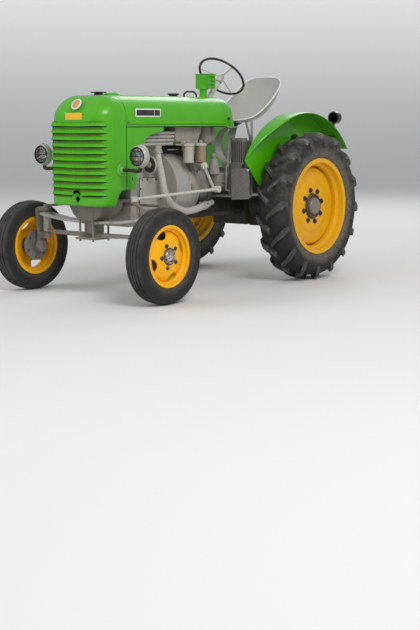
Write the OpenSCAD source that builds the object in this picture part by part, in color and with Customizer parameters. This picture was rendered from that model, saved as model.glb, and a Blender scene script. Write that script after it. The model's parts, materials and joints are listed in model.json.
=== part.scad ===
// Small farm tractor of the 1950s with an open diesel engine.
// Millimetres. +Z is up, the tractor faces -Y and its left side is +X.
// Every module is drawn from the ground point under the middle of the front axle,
// and from_front() then moves it so that the whole tractor is centred on the origin.

/* [Wheels] */
// Distance between the front and the rear axle
wheelbase = 1810; // [1780:5:1840]
// Distance between the middles of the two front tyres
front_track = 1337; // [1320:1:1380]
// Distance between the middles of the two rear tyres
rear_track = 1334; // [1324:1:1400]
// Radius of the front tyre to the top of its ribs
front_tyre_r = 340; // [334:1:346]
// Width of the front tyre
front_tyre_w = 153; // [146:1:160]
// Radius of the rear tyre to the tips of its lugs
rear_tyre_r = 594; // [588:1:600]
// Width of the rear tyre over its lugs
rear_tyre_w = 274; // [266:1:280]
// Height of the lugs above the carcass
lug_h = 30; // [22:1:34]
// Number of lugs on each side of a rear tyre
lug_count = 16; // [14:1:18]
// Radius of the front rim's flange
front_rim_r = 220; // [216:1:224]
// Radius of the rear rim's flange
rear_rim_r = 385; // [380:1:390]

/* [Bonnet] */
// Half the width of the bonnet and the nose
bonnet_half_w = 280; // [274:1:286]
// Height of the lower edge of the bonnet above the ground
bonnet_low_z = 1232; // [1225:1:1240]
// Height of the bonnet from its lower edge to its top
bonnet_h = 228; // [215:1:240]
// Radius of the bonnet's shoulder
shoulder_r = 155; // [145:1:165]
// How far the nose reaches in front of the front axle
nose_reach = 198; // [190:1:205]
// Distance of the seam between nose and bonnet behind the front axle
seam_front_y = 53; // [45:1:60]
// Length of the bonnet between its two seams
bonnet_len = 1147; // [1130:1:1160]
// Length of the closed rear dome
dome_len = 200; // [190:1:210]
// Height of the nose's lower edge above the ground
nose_low_z = 690; // [686:1:696]
// Radius of the nose's upright corners
nose_corner_r = 120; // [105:1:135]
// Thickness of the sheet metal as modelled
sheet_t = 4; // [3:0.5:5]

/* [Louvres] */
// Number of louvres across the nose
louvre_count = 11; // [8:1:12]
// Plain strip of the nose under the lowest louvre
louvre_low_strip = 58; // [50:1:70]
// Height of one louvre
louvre_h = 34; // [28:1:38]
// How far the louvre's lip stands out
louvre_out = 13; // [9:1:15]

/* [Steering] */
// Distance from the middle of the front tyre in to its kingpin
kingpin_inset = 178.5; // [174:0.5:184]
// Length of the arms that carry the tie rod
tie_arm_len = 180; // [176:1:184]
// Space between the widest part of the engine and the drag link
link_space = 111; // [106:1:114]
// Radius of the steering wheel
steering_wheel_r = 207; // [195:1:215]
// Tilt of the steering wheel from level
steering_wheel_tilt = 44; // [42:1:46]

/* [Lamps] */
// Distance of the headlamps' middle from the bonnet's side
lamp_out = 200; // [190:1:208]
// Height of the headlamps' middle above the ground
lamp_z = 1029; // [1020:1:1040]
// Radius of the headlamp shell
lamp_r = 85; // [80:1:88]

/* [Engine] */
// Half the width of the crankcase
block_half_w = 165; // [155:1:170]
// Length of the engine
engine_len = 390; // [380:1:400]
// Radius of the bell housing's front flange
bell_r = 289; // [284:1:292]
// Length of the bell housing
bell_len = 395; // [385:1:405]
// Radius of the exhaust pipe
pipe_r = 26; // [22:1:28]
// Half the width of the gearbox
gearbox_half_w = 150; // [140:1:158]

/* [Fenders and seat] */
// Space between the rear tyre's lugs and the fender's sheet
fender_clear = 151; // [146:1:156]
// Space between the rear tyre's inner side and the fender's wall
fender_gap = 30; // [26:1:36]
// Width of the fender's sheet
fender_w = 155; // [145:1:160]
// Half the width of the seat over its rim
seat_half_w = 230; // [215:1:240]
// Height of the seat's bottom above the ground
seat_low_z = 1275; // [1265:1:1290]
// Height of the seat's back above its bottom
seat_back_h = 382; // [370:1:395]

/* [Fits] */
// Radial play of a pin or shaft in its bore
running_play = 0.05; // [0.03:0.01:0.09]
// Gap between two pieces that are bolted together
seat_gap = 0.3; // [0.2:0.1:0.5]
// Gap between the ears of a knuckle and the carrier between them
joint_gap = 5; // [5:0.5:6]

/* [Hidden] */
$fn = 64;
front_axle_y = -(wheelbase + rear_tyre_r - front_tyre_r) / 2;
green = [0.20, 0.62, 0.10];
cast_gray = [0.60, 0.58, 0.54];
dark_gray = [0.28, 0.27, 0.26];
tyre_black = [0.10, 0.10, 0.10];
wheel_yellow = [0.92, 0.62, 0.05];
seat_gray = [0.74, 0.74, 0.72];
lamp_gray = [0.66, 0.67, 0.62];
gloss_black = [0.05, 0.05, 0.05];
glass_gray = [0.80, 0.85, 0.85];
rear_z = rear_tyre_r;
front_z = front_tyre_r;
tyre_in_x = (rear_track - rear_tyre_w) / 2;
bonnet_top_z = bonnet_low_z + bonnet_h;
shoulder_x = bonnet_half_w - shoulder_r;
shoulder_z = bonnet_top_z - shoulder_r;
nose_front_y = -nose_reach;
seam_rear_y = seam_front_y + bonnet_len;
dome_end_y = seam_rear_y + dome_len;
past = 2000;

// Moves the tractor from the front axle's ground point to the middle of its length.
module from_front() translate([0, front_axle_y, 0]) children();

// A pair of like pieces, one on each side.
module both_sides() {
    children();
    mirror([1, 0, 0]) children();
}

// A round rod from point a to point b.
module rod(a, b, r) {
    d = b - a;
    len = norm(d);
    translate(a)
        rotate([0, acos(d[2] / len), atan2(d[1], d[0])])
            cylinder(h = len, r = r);
}

// A rod through a row of points, with a ball slightly larger than the rod at each bend.
module bent_rod(points, r) {
    for (i = [0 : len(points) - 2]) rod(points[i], points[i + 1], r);
    if (len(points) > 2)
        for (i = [1 : len(points) - 2]) translate(points[i]) sphere(r = r * 1.04);
}

// A solid turned about the X axis: the profile's points are [radius, along x].
module turned_x() rotate([0, 90, 0]) rotate_extrude($fn = 96) children();

// A solid turned about the Y axis: the profile's points are [radius, along y].
module turned_y() rotate([-90, 0, 0]) rotate_extrude($fn = 96) children();

// Drum along X from x0 to x1.
module drum_x(x0, x1, r) translate([x0, 0, 0]) rotate([0, 90, 0]) cylinder(h = x1 - x0, r = r);

// Drum along Y from y0 to y1.
module drum_y(y0, y1, r) translate([0, y0, 0]) rotate([-90, 0, 0]) cylinder(h = y1 - y0, r = r);

// A plate from x0 to x1 whose outline's points are [y, z].
module plate_x(x0, x1) translate([x0, 0, 0]) rotate([90, 0, 90]) linear_extrude(height = x1 - x0) children();

// A plate from y0 to y1 whose outline's points are [x, z].
module plate_y(y0, y1) translate([0, y1, 0]) rotate([90, 0, 0]) linear_extrude(height = y1 - y0) children();

// A box from its lowest to its highest corner.
module box(low, high) translate(low) cube(high - low);

// Tyres

rim_seat_rear = rear_rim_r - 29;
rim_seat_front = front_rim_r - 17;
bead_half_rear = 103;
bead_half_front = 51;

// Steps round a tyre; each step is a flat, and the lowest flat lies on the ground.
tyre_steps = 28;

// A ring about the X axis in flat steps: the profile's points are [radius at the flats, along x].
module stepped_ring(profile) {
    m = len(profile);
    grow = 1 / cos(180 / tyre_steps);
    points = [for (i = [0 : tyre_steps - 1]) let (a = (i + 0.5) * 360 / tyre_steps) for (p = profile)
        [p[1], grow * p[0] * sin(a), grow * p[0] * cos(a)]];
    faces = [for (i = [0 : tyre_steps - 1], j = [0 : m - 1]) let (next = (i + 1) % tyre_steps,
        up = (j + 1) % m)
        [i * m + j, next * m + j, next * m + up, i * m + up]];
    polyhedron(points, faces);
}

// One lug at the top of the tyre: it runs back from the middle to the shoulder.
module lug_bar() translate([0, 0, rear_tyre_r - lug_h - 60])
    linear_extrude(height = 150)
        polygon([[-6, -78], [-6, -36], [150, 66], [150, 24]]);

module rear_tyre() {
    w = rear_tyre_w / 2;
    r = rear_tyre_r;
    c = r - lug_h;
    f = rear_rim_r;
    b = bead_half_rear;
    stepped_ring([
        [rim_seat_rear, -b], [f + 6, -b], [c - 70, -w + 4], [c - 12, -w + 24], [c, -45],
        [c, 45], [c - 12, w - 24], [c - 70, w - 4], [f + 6, b], [rim_seat_rear, b]]);
    intersection() {
        stepped_ring([[c - 60, -w], [r - 30, -w], [r, -w + 28], [r, w - 28], [r - 30, w], [c - 60, w]]);
        for (i = [0 : lug_count - 1]) {
            rotate([i * 360 / lug_count, 0, 0]) lug_bar();
            rotate([(i + 0.5) * 360 / lug_count, 0, 0]) mirror([1, 0, 0]) lug_bar();
        }
    }
}

module front_tyre() {
    w = front_tyre_w / 2;
    r = front_tyre_r;
    f = front_rim_r;
    b = bead_half_front;
    stepped_ring([
        [rim_seat_front, -b], [f + 6, -b], [r - 50, -w], [r - 8, -w + 20], [r, -16],
        [r, 16], [r - 8, w - 20], [r - 50, w], [f + 6, b], [rim_seat_front, b]]);
}

// Wheels, with +X outward

rear_shaft_r = 35;
rear_housing_end = rear_track / 2 - 127;
rear_bolt_circle = 130;

// Rear wheel: rolled rim, deep-set disc with a raised middle, hub and the end of the half shaft.
module rear_wheel() {
    f = rear_rim_r;
    b = bead_half_rear;
    turned_x() polygon([
        [f, -b - 9], [f, -b - 2], [f - 29, -b], [f - 29, -62], [f - 55, -46],
        [f - 55, 46], [f - 29, 62], [f - 29, b], [f, b + 2], [f, b + 9],
        [f - 36, b + 7], [f - 36, 65], [f - 61, 50], [f - 61, -50], [f - 36, -65], [f - 36, -b - 7]]);
    turned_x() polygon([
        [0, 22], [200, 22], [212, 14], [300, 14], [f - 58, 24],
        [f - 58, 31], [300, 22], [214, 22], [204, 30], [0, 30]]);
    turned_x() polygon([[0, 25], [0, 58], [40, 58], [72, 52], [76, 40], [98, 40], [98, 25]]);
    for (a = [22.5 : 45 : 337.5])
        rotate([a, 0, 0]) translate([28, 0, rear_bolt_circle]) rotate([0, 90, 0])
            cylinder(h = 18, r = 14, $fn = 6);
    drum_x(rear_housing_end - 70 - rear_track / 2, 25, rear_shaft_r);
    drum_x(rear_housing_end + 8 - rear_track / 2, 25, 72);
}

stub_r = 20;
front_bolt_circle = 75;
hand_hole_r = 34;

// Front wheel: rolled rim, dished disc with four hand holes, drum, hub and cap.
module front_wheel() {
    f = front_rim_r;
    b = bead_half_front;
    turned_x() polygon([
        [f, -b - 7], [f, -b - 2], [f - 17, -b], [f - 17, -32], [f - 34, -22],
        [f - 34, 22], [f - 17, 32], [f - 17, b], [f, b + 2], [f, b + 7],
        [f - 21, b + 5], [f - 21, 34], [f - 38, 25], [f - 38, -25], [f - 21, -34], [f - 21, -b - 5]]);
    difference() {
        turned_x() polygon([
            [stub_r + 20, 22], [105, 22], [150, 15], [f - 36, -8],
            [f - 36, -2], [152, 20], [106, 28], [stub_r + 20, 28]]);
        for (a = [25 : 90 : 295])
            rotate([a, 0, 0]) translate([0, 0, f - 44]) drum_x(-30, 50, hand_hole_r);
    }
    difference() {
        union() {
            turned_x() polygon([
                [0, 24], [0, 62], [30, 62], [48, 54], [54, 40], [54, 30], [62, 24]]);
            turned_x() polygon([
                [0, -70], [50, -70], [50, -62], [112, -62], [116, -40], [60, -34], [48, -20], [46, 26],
                    [0, 26]]);
        }
        drum_x(-120, 36, stub_r + running_play);
    }
    for (a = [0 : 72 : 288])
        rotate([a, 0, 0]) translate([26, 0, front_bolt_circle]) rotate([0, 90, 0])
            cylinder(h = 14, r = 11, $fn = 6);
}

module place_front_left() translate([front_track / 2, 0, front_z]) children();
module place_rear_left() translate([rear_track / 2, wheelbase, rear_z]) children();

module tyre_front_left() color(tyre_black) from_front() place_front_left() front_tyre();
module tyre_front_right() color(tyre_black) from_front() mirror([1, 0, 0]) place_front_left() front_tyre();
module tyre_rear_left() color(tyre_black) from_front() place_rear_left() rear_tyre();
module tyre_rear_right() color(tyre_black) from_front() mirror([1, 0, 0]) place_rear_left() rear_tyre();
module wheel_front_left() color(wheel_yellow) from_front() place_front_left() front_wheel();
module wheel_front_right() color(wheel_yellow) from_front() mirror([1, 0, 0]) place_front_left()
    front_wheel();
module wheel_rear_left() color(wheel_yellow) from_front() place_rear_left() rear_wheel();
module wheel_rear_right() color(wheel_yellow) from_front() mirror([1, 0, 0]) place_rear_left() rear_wheel();

// Front axle and steering

kingpin_x = front_track / 2 - kingpin_inset;
kingpin_r = 12;
knuckle_plate_x = kingpin_x + 85;
carrier_r = 29;
carrier_low_z = 452;
carrier_top_z = 600;
arm_z = 640;
arm_t = 16;
tie_pin_r = 8;
tie_rod_z = 672;
link_x = bell_r + link_space;
link_front_z = 712;
drop_pivot = [0, 834, 936];
drop_ball = [0, 950, 758];
drop_arm_x = bell_r + 66;
drop_arm_t = 18;
drop_shaft_r = 16;
link_pin_r = 9;
link_rod_r = 8;

// One steering knuckle, left side: yoke plate, two ears on the kingpin, stub axle and tie-rod arm.
module knuckle() {
    translate([kingpin_x, 0, carrier_low_z - 40])
        cylinder(h = arm_z + arm_t - carrier_low_z + 40, r = kingpin_r);
    for (ear = [[carrier_low_z - joint_gap - 42, 42], [carrier_top_z + joint_gap, 30]])
        translate([0, 0, ear[0]]) {
            translate([kingpin_x, 0, 0]) cylinder(h = ear[1], r = 30);
            translate([kingpin_x, -26, 0]) cube([knuckle_plate_x - kingpin_x - 4, 52, ear[1]]);
        }
    plate_x(knuckle_plate_x - 20, knuckle_plate_x)
        polygon([[-38, front_z], [-30, 420], [-42, 560], [-42, 628], [42, 628], [42, 560], [30, 420],
            [38, front_z]]);
    translate([0, 0, front_z]) {
        drum_x(knuckle_plate_x - 30, knuckle_plate_x + 2, 46);
        drum_x(knuckle_plate_x - 2, front_track / 2 + 30, stub_r);
    }
    translate([kingpin_x, 0, arm_z - 8]) cylinder(h = arm_t + 8, r = 27);
    translate([kingpin_x - 17, 0, arm_z]) cube([34, tie_arm_len, arm_t]);
    translate([kingpin_x, tie_arm_len, arm_z]) cylinder(h = arm_t, r = 22);
    translate([kingpin_x, tie_arm_len, arm_z]) cylinder(h = 52, r = tie_pin_r);
}

module knuckle_left() color(cast_gray) from_front() {
    knuckle();
    rod([kingpin_x, 0, arm_z + 8], [link_x, 0, link_front_z - 16], 13);
    translate([link_x, 0, link_front_z - 32]) cylinder(h = 30, r = 19);
}

module knuckle_right() color(cast_gray) from_front() mirror([1, 0, 0]) knuckle();

// Rod between the two tie-rod arms, with an eye on each arm's pin.
module tie_rod() color(cast_gray) from_front() difference() {
    union() {
        rod([-kingpin_x + 12, tie_arm_len, tie_rod_z], [kingpin_x - 12, tie_arm_len, tie_rod_z], 10);
        both_sides() translate([kingpin_x, tie_arm_len, tie_rod_z - 11]) cylinder(h = 22, r = 20);
    }
    translate([kingpin_x, tie_arm_len, tie_rod_z - 20]) cylinder(h = 50, r = tie_pin_r + running_play);
    translate([-kingpin_x, tie_arm_len, tie_rod_z - 20]) cylinder(h = 50, r = tie_pin_r + 0.4);
}

module drop_arm() color(cast_gray) from_front() {
    mid_x = drop_arm_x + drop_arm_t / 2;
    translate(drop_pivot) {
        drum_x(drop_arm_x - 130, drop_arm_x + drop_arm_t + 8, drop_shaft_r);
        drum_x(drop_arm_x, drop_arm_x + drop_arm_t, 26);
    }
    translate(drop_ball) {
        drum_x(drop_arm_x, drop_arm_x + drop_arm_t, 21);
        drum_x(drop_arm_x + drop_arm_t - 2, link_x + 22, link_pin_r);
    }
    rod(drop_pivot + [mid_x, 0, 0], drop_ball + [mid_x, 0, 0], drop_arm_t / 2 + 1);
}

module drag_link() color(cast_gray) from_front() difference() {
    union() {
        translate(drop_ball) drum_x(link_x - 16, link_x + 16, 22);
        rod(drop_ball + [link_x, 0, 0], [link_x, 0, link_front_z + 15], link_rod_r);
        translate([link_x, 0, link_front_z]) cylinder(h = 30, r = 20);
    }
    translate(drop_ball) drum_x(link_x - 40, link_x + 40, link_pin_r + running_play);
}

support_top_z = 710;
spring_top_z = 466;
spring_half_y = 32;
block_half_y = 50;
arm_y = 33;
arm_w = 22;

// Belly casting under the nose, with the plate that runs back to the crankcase, the strap that
// carries the nose, and the spring's clamp plate on four long bolts.
module front_support() color(cast_gray) from_front() {
    plate_y(-80, 125)
        polygon([[-170, 686], [-166, 655], [-128, 600], [-90, 574], [-50, 560], [50, 560],
                 [90, 574], [128, 600], [166, 655], [170, 686]]);
    box([-170, -140, 684], [170, engine_front_y, support_top_z]);
    nose_in_x = bonnet_half_w - sheet_t - seat_gap;
    box([-nose_in_x, -75, 694], [nose_in_x, -50, 706]);
    box([-block_half_y, -50, spring_top_z], [block_half_y, 50, 566]);
    box([-95, -100, 424], [95, 100, 438]);
    for (x = [-65, 65], y = [-80, 80]) translate([x, y, 410]) cylinder(h = 160, r = 8);
}

// Lower transverse spring. Each leaf is [half length, lowest z, highest z].
module leaf_spring() color(cast_gray) from_front() {
    main_half = kingpin_x - carrier_r - seat_gap;
    leaves = [[main_half, 452, spring_top_z], [main_half - 80, 442, 453], [main_half - 210, 438, 443]];
    for (leaf = leaves)
        box([-leaf[0], -spring_half_y, leaf[1]], [leaf[0], spring_half_y, leaf[2]]);
}

// Upper arms from the belly casting to the kingpin carriers, which hold the kingpins.
module upper_arms() color(cast_gray) from_front() difference() {
    both_sides() {
        in_x = block_half_y + seat_gap;
        for (y = [-arm_y - arm_w, arm_y]) plate_y(y, y + arm_w)
            polygon([[in_x, 536], [300, 548], [kingpin_x, 574], [kingpin_x, 596], [290, 566], [in_x, 556]]);
        translate([kingpin_x, 0, carrier_low_z]) cylinder(h = carrier_top_z - carrier_low_z, r = carrier_r);
        translate([kingpin_x - 20, -arm_y - arm_w, 576]) cube([40, 2 * (arm_y + arm_w), 20]);
    }
    both_sides() translate([kingpin_x, 0, 400]) cylinder(h = 260, r = kingpin_r + running_play);
}

// Engine

engine_front_y = 215;
bell_front_y = engine_front_y + engine_len;
bell_z = 769;
gearbox_front_y = bell_front_y + bell_len;
gearbox_flange = 20;
head_half_w = 140;
manifold_y = [262, 648];
manifold_low_z = 1098;
port = [226, 452, 1052];

// Crankcase with side covers and sump, cylinder block, head, rocker cover and dynamo.
module engine_block() color(cast_gray) from_front() {
    y0 = engine_front_y;
    y1 = bell_front_y;
    box([-block_half_w, y0, 540], [block_half_w, y1, 940]);
    box([-130, y0 + 25, 930], [130, y1, 1125]);
    box([-block_half_w + 25, y0 + 10, 500], [block_half_w - 25, y1, 560]);
    box([-head_half_w, y0 + 20, 1120], [head_half_w, y1 + 15, 1180]);
    box([-105, y0 + 40, 1170], [105, y1, bonnet_low_z + 8]);
    both_sides() plate_x(block_half_w - 5, block_half_w + 27)
        polygon([[y0 + 80, 590], [y0 + 70, 600], [y0 + 70, 850], [y0 + 80, 860],
                 [y1 - 65, 860], [y1 - 55, 850], [y1 - 55, 600], [y1 - 65, 590]]);
    for (z = [880, 905, 930]) box([-block_half_w - 6, y0, z], [block_half_w + 6, y1, z + 6]);
    translate([250, 0, 957]) turned_y() polygon([
        [0, 326], [20, 326], [22, 332], [57, 334], [61, 340], [61, 416], [52, 422], [0, 422]]);
    box([120, 345, 905], [230, 405, 960]);
}

// Ribbed exhaust manifold on the left of the head, with its outlet port underneath.
module exhaust_manifold() color(cast_gray) from_front() {
    y0 = manifold_y[0];
    y1 = manifold_y[1];
    in_x = head_half_w + seat_gap;
    rib_r = 13;
    rib_pitch = 27;
    rib_step = 10;
    for (i = [0 : 3]) {
        z = manifold_low_z + 8 + i * rib_pitch;
        end_y = y1 - (3 - i) * rib_step;
        box([in_x, y0, z - rib_pitch / 2], [228, end_y - 4, z + rib_pitch / 2]);
        translate([228, y0, z]) rotate([-90, 0, 0]) cylinder(h = end_y - y0, r = rib_r);
    }
    translate(port) cylinder(h = manifold_low_z - port[2] + 4, r = 38);
}

// Exhaust pipe: down from the manifold, then back under the bell housing to its clamp and tail.
pipe_bends = [[port[0], port[1], port[2] - 7], [250, 468, 873], [280, 463, 751], [bell_r + 5, 485, 692],
              [bell_r + 15, bell_front_y - 56, 644], [bell_r + 15, bell_front_y + 76, 599],
              [bell_r + 15, bell_front_y + 168, 603], [290, gearbox_front_y - 74, 628]];
pipe_end = [275, gearbox_front_y + 42, 648];
module exhaust_pipe() color(cast_gray) from_front() {
    clamp = pipe_bends[7];
    bent_rod(pipe_bends, pipe_r);
    translate([port[0], port[1], port[2] - 12]) cylinder(h = 12 - seat_gap, r = 36);
    rod(clamp - [-2, 22, 4], clamp + [-1, 12, 2], pipe_r + 7);
    rod(clamp, pipe_end, pipe_r - 5);
    box([gearbox_half_w + gearbox_flange + seat_gap, gearbox_front_y + 2, 632],
        [pipe_end[0] - 2, gearbox_front_y + 22, 652]);
}

// The bell's outer form, grown by d: widest at its front flange and stepped down to the gearbox.
module bell_form(d = 0) {
    r = bell_r + d;
    y = bell_front_y;
    translate([0, 0, bell_z]) turned_y() polygon([
        [0, y], [r, y], [r, y + 45], [r - 6, y + 49], [r - 10, y + 145], [r - 26, y + 245],
        [r - 60, y + 345], [r - 100, gearbox_front_y - 40], [r - 110, gearbox_front_y],
            [0, gearbox_front_y]]);
}

module bell_housing() color(cast_gray) from_front() bell_form();

wheel_hub = [0, 1515, 1632];
column_axis = [0, sin(steering_wheel_tilt), cos(steering_wheel_tilt)];
column_r = 19;
column_len = 850;
column_shaft_r = 9;
saddle_y = [792, 970];
bearing_half_y = 32;

// Steering gear: a saddle casting over the bell, the drop arm's bearing and the steering column.
module steering_gear() color(cast_gray) from_front() difference() {
    union() {
        difference() {
            union() {
                plate_y(saddle_y[0], saddle_y[1])
                    polygon([[-60, 930], [-60, 1040], [40, 1040], [110, 1010], [200, 950], [215, 900],
                        [150, 900]]);
                translate([0, drop_pivot[1], 0])
                    box([190, -bearing_half_y, 900], [drop_arm_x - 55, bearing_half_y, 956]);
                translate(drop_pivot) drum_x(200, drop_arm_x - joint_gap, drop_shaft_r + 6);
            }
            bell_form(seat_gap);
        }
        rod(wheel_hub - column_len * column_axis, wheel_hub - 30 * column_axis, column_r);
        rod(wheel_hub - 60 * column_axis, wheel_hub - 30 * column_axis, column_r + 5);
        bent_rod([wheel_hub - 110 * column_axis, wheel_hub - 70 * column_axis + [-70, 0, 0],
                  wheel_hub - 50 * column_axis + [-150, -20, 0]], 5);
    }
    translate(drop_pivot) drum_x(215, drop_arm_x, drop_shaft_r + running_play);
    rod(wheel_hub - 90 * column_axis, wheel_hub, column_shaft_r + running_play);
}

gearbox_low_z = 520;
gearbox_top_z = 905;
axle_front_y = wheelbase - 190;
axle_rear_y = wheelbase + 200;
filler = [225, gearbox_front_y + 188, 762];
filler_cone_y = gearbox_front_y + 128;

// Gearbox casting with a ribbed side, top cover, and on its left a flanged filler with a ball cap.
module gearbox() color(dark_gray) from_front() {
    w = gearbox_half_w;
    plate_y(gearbox_front_y, axle_front_y)
        polygon([[-w, gearbox_low_z + 30], [-w + 30, gearbox_low_z], [w - 30, gearbox_low_z],
            [w, gearbox_low_z + 30],
                 [w, 840], [w - 40, 880], [-w + 40, 880], [-w, 840]]);
    fw = w + gearbox_flange;
    plate_y(gearbox_front_y, gearbox_front_y + 24)
        polygon([[-fw, 600], [-w + 10, 560], [w - 10, 560], [fw, 600], [fw, 850], [w - 20, 890],
            [-w + 20, 890], [-fw, 850]]);
    box([-w + 35, gearbox_front_y + 170, 870], [w - 35, axle_front_y - 30, gearbox_top_z]);
    translate(filler) rotate_extrude($fn = 96)
        polygon([[0, 0], [58, 0], [62, 6], [62, 94], [69, 96], [69, 104], [0, 104]]);
    translate([filler[0], filler_cone_y, filler[2] + 100]) rotate_extrude($fn = 64) polygon([
        [0, 0], [46, 0], [46, 12], [43, 34], [37, 76], [31, 112], [18, 120], [18, 128], [24, 136],
        [24, 152], [14, 163], [0, 166]]);
    box([w - 10, filler[1] - 40, filler[2] + 10], [filler[0], filler[1] + 40, filler[2] + 90]);
}

// Rear axle: centre casting, two trumpets that end in the half-shaft bearings, and the fender's feet.
module rear_axle() color(dark_gray) from_front() difference() {
    union() {
        box([-170, axle_front_y, rear_z - 164], [170, axle_rear_y, rear_z + 256]);
        translate([0, wheelbase, rear_z]) {
            drum_x(-rear_housing_end, rear_housing_end, 82);
            both_sides() turned_x() polygon([[0, 160], [150, 160], [90, 330], [0, 330]]);
            both_sides() drum_x(rear_housing_end - 26, rear_housing_end, 120);
        }
        both_sides() box([fender_wall_x - 9, wheelbase - 60, rear_z + 60],
            [fender_wall_x - seat_gap, wheelbase + 60, rear_z + 230]);
    }
    translate([0, wheelbase, rear_z]) both_sides()
        drum_x(rear_housing_end - 80, rear_housing_end + 60, rear_shaft_r + running_play);
}

// Bonnet and nose

// Outline of the bonnet with its shoulder, grown by d.
module bonnet_section(d = 0) {
    w = bonnet_half_w + d;
    translate([-w, bonnet_low_z]) square([2 * w, shoulder_z - bonnet_low_z]);
    translate([-shoulder_x, bonnet_low_z]) square([2 * shoulder_x, bonnet_top_z + d - bonnet_low_z]);
    for (s = [-1, 1]) translate([s * shoulder_x, shoulder_z]) intersection() {
        circle(r = shoulder_r + d);
        translate([-shoulder_r, bonnet_low_z - shoulder_z]) square(2 * shoulder_r);
    }
}

// Bonnet: a plain shell with a raised bead along each side and the blind filler disc on top.
module bonnet() color(green) from_front() {
    difference() {
        plate_y(seam_front_y, seam_rear_y) bonnet_section();
        plate_y(seam_front_y - 5, seam_rear_y + 5) bonnet_section(-sheet_t);
        box([-bonnet_half_w + sheet_t, seam_front_y - 5, bonnet_low_z - 5],
            [bonnet_half_w - sheet_t, seam_rear_y + 5, bonnet_low_z + 5]);
    }
    both_sides() box([bonnet_half_w - 1, seam_front_y + 8, bonnet_low_z + 41],
                     [bonnet_half_w + 4, seam_rear_y - 4, bonnet_low_z + 52]);
    translate([0, seam_front_y + 156, bonnet_top_z - 2]) cylinder(h = 11, r = 64);
}

// Rounded closed end: the hull of two spheres at the top, upright corners below and the bonnet's
// own section at the seam. y_end is the far end, y_seam the seam, d grows the form.
module rounded_end(y_seam, y_end, low_z, corner_r, d) {
    dir = sign(y_end - y_seam);
    hull() {
        for (s = [-1, 1]) {
            translate([s * shoulder_x, y_end - dir * shoulder_r, shoulder_z])
                sphere(r = shoulder_r + d, $fn = 40);
            translate([s * (bonnet_half_w - corner_r), y_end - dir * corner_r, low_z])
                cylinder(h = shoulder_z - low_z - 60, r = corner_r + d, $fn = 40);
            translate([s * shoulder_x, y_seam + dir, shoulder_z]) rotate([90 * dir, 0, 0])
                cylinder(h = 1, r = shoulder_r + d, $fn = 40);
            translate([s * (bonnet_half_w + d) - (s > 0 ? 20 : 0), y_seam - (dir > 0 ? 0 : 1), low_z])
                cube([20, 1, 40]);
        }
    }
}

crank_hole_z = nose_low_z + 31;
nose_notch = [[-60, nose_low_z - 90], [-56, nose_low_z + 2], [-44, nose_low_z + 32], [-30, nose_low_z + 64],
              [-12, nose_low_z + 90], [14, nose_low_z + 105], [40, nose_low_z + 110],
              [100, nose_low_z + 110], [100, nose_low_z - 90]];
louvre_pitch = (shoulder_z - 71 - nose_low_z - louvre_low_strip) / (louvre_count - 1);

// One louvre: a ramp that stands out at its foot, across the front and round both corners.
module louvre(z) {
    sweep = 60;
    cx = bonnet_half_w - nose_corner_r;
    cy = nose_front_y + nose_corner_r;
    r = nose_corner_r;
    ramp = [[r - 3, louvre_h], [r + louvre_out, 4], [r + louvre_out - 3, 0], [r - 3, 8]];
    translate([0, 0, z]) {
        for (s = [0, 1]) mirror([s, 0, 0]) translate([cx, cy, 0]) rotate([0, 0, -90])
            rotate_extrude(angle = sweep, $fn = 96) polygon(ramp);
        translate([-cx, cy, 0]) rotate([90, 0, 90]) mirror([1, 0, 0]) linear_extrude(height = 2 * cx)
            polygon(ramp);
    }
}

module nose() color(green) from_front() {
    difference() {
        rounded_end(seam_front_y - seat_gap, nose_front_y, nose_low_z, nose_corner_r, 0);
        rounded_end(seam_front_y + 12, nose_front_y, nose_low_z - 20, nose_corner_r, -sheet_t);
        box([-past, seam_front_y - seat_gap, 0], [past, past, past]);
        plate_x(-400, 400) polygon(nose_notch);
        translate([0, 0, crank_hole_z]) drum_y(nose_front_y - 40, nose_front_y + 60, 12);
        translate([0, 0, crank_hole_z + 56]) drum_y(nose_front_y - 40, nose_front_y + 60, 17);
    }
    for (i = [0 : louvre_count - 1]) louvre(nose_low_z + louvre_low_strip + i * louvre_pitch);
}

stack_y = seam_rear_y + 76;
stack_neck_r = 30;
dome_corner_r = 100;

// Rear dome over the instruments' end of the bonnet, with holes for the intake neck and the column.
module tank_dome() color(green) from_front() difference() {
    rounded_end(seam_rear_y + seat_gap, dome_end_y, bonnet_low_z, dome_corner_r, 0);
    rounded_end(seam_rear_y - 12, dome_end_y, bonnet_low_z - 40, dome_corner_r, -sheet_t);
    box([-past, -past, 0], [past, seam_rear_y + seat_gap, past]);
    box([-past, seam_rear_y, 0], [past, past, bonnet_low_z]);
    translate([0, stack_y, bonnet_top_z - 40]) cylinder(h = 80, r = stack_neck_r + seat_gap);
    rod(wheel_hub - 500 * column_axis, wheel_hub, column_r + seat_gap);
}

// Side panels under the front of the bonnet, with the arched cut-out over the manifold.
module side_panels() color(green) from_front() both_sides()
    plate_x(bonnet_half_w - sheet_t, bonnet_half_w)
        polygon([[seam_front_y + seat_gap, nose_low_z + 98], [144, nose_low_z + 97], [170, 903], [186, 960],
                 [205, 1020], [222, 1075], [234, 1106], [250, 1135], [265, 1149], [284, 1160], [308, 1170],
                 [334, 1179], [398, 1193], [461, bonnet_low_z - 29], [461, bonnet_low_z - seat_gap],
                 [seam_front_y + seat_gap, bonnet_low_z - seat_gap]]);

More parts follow.
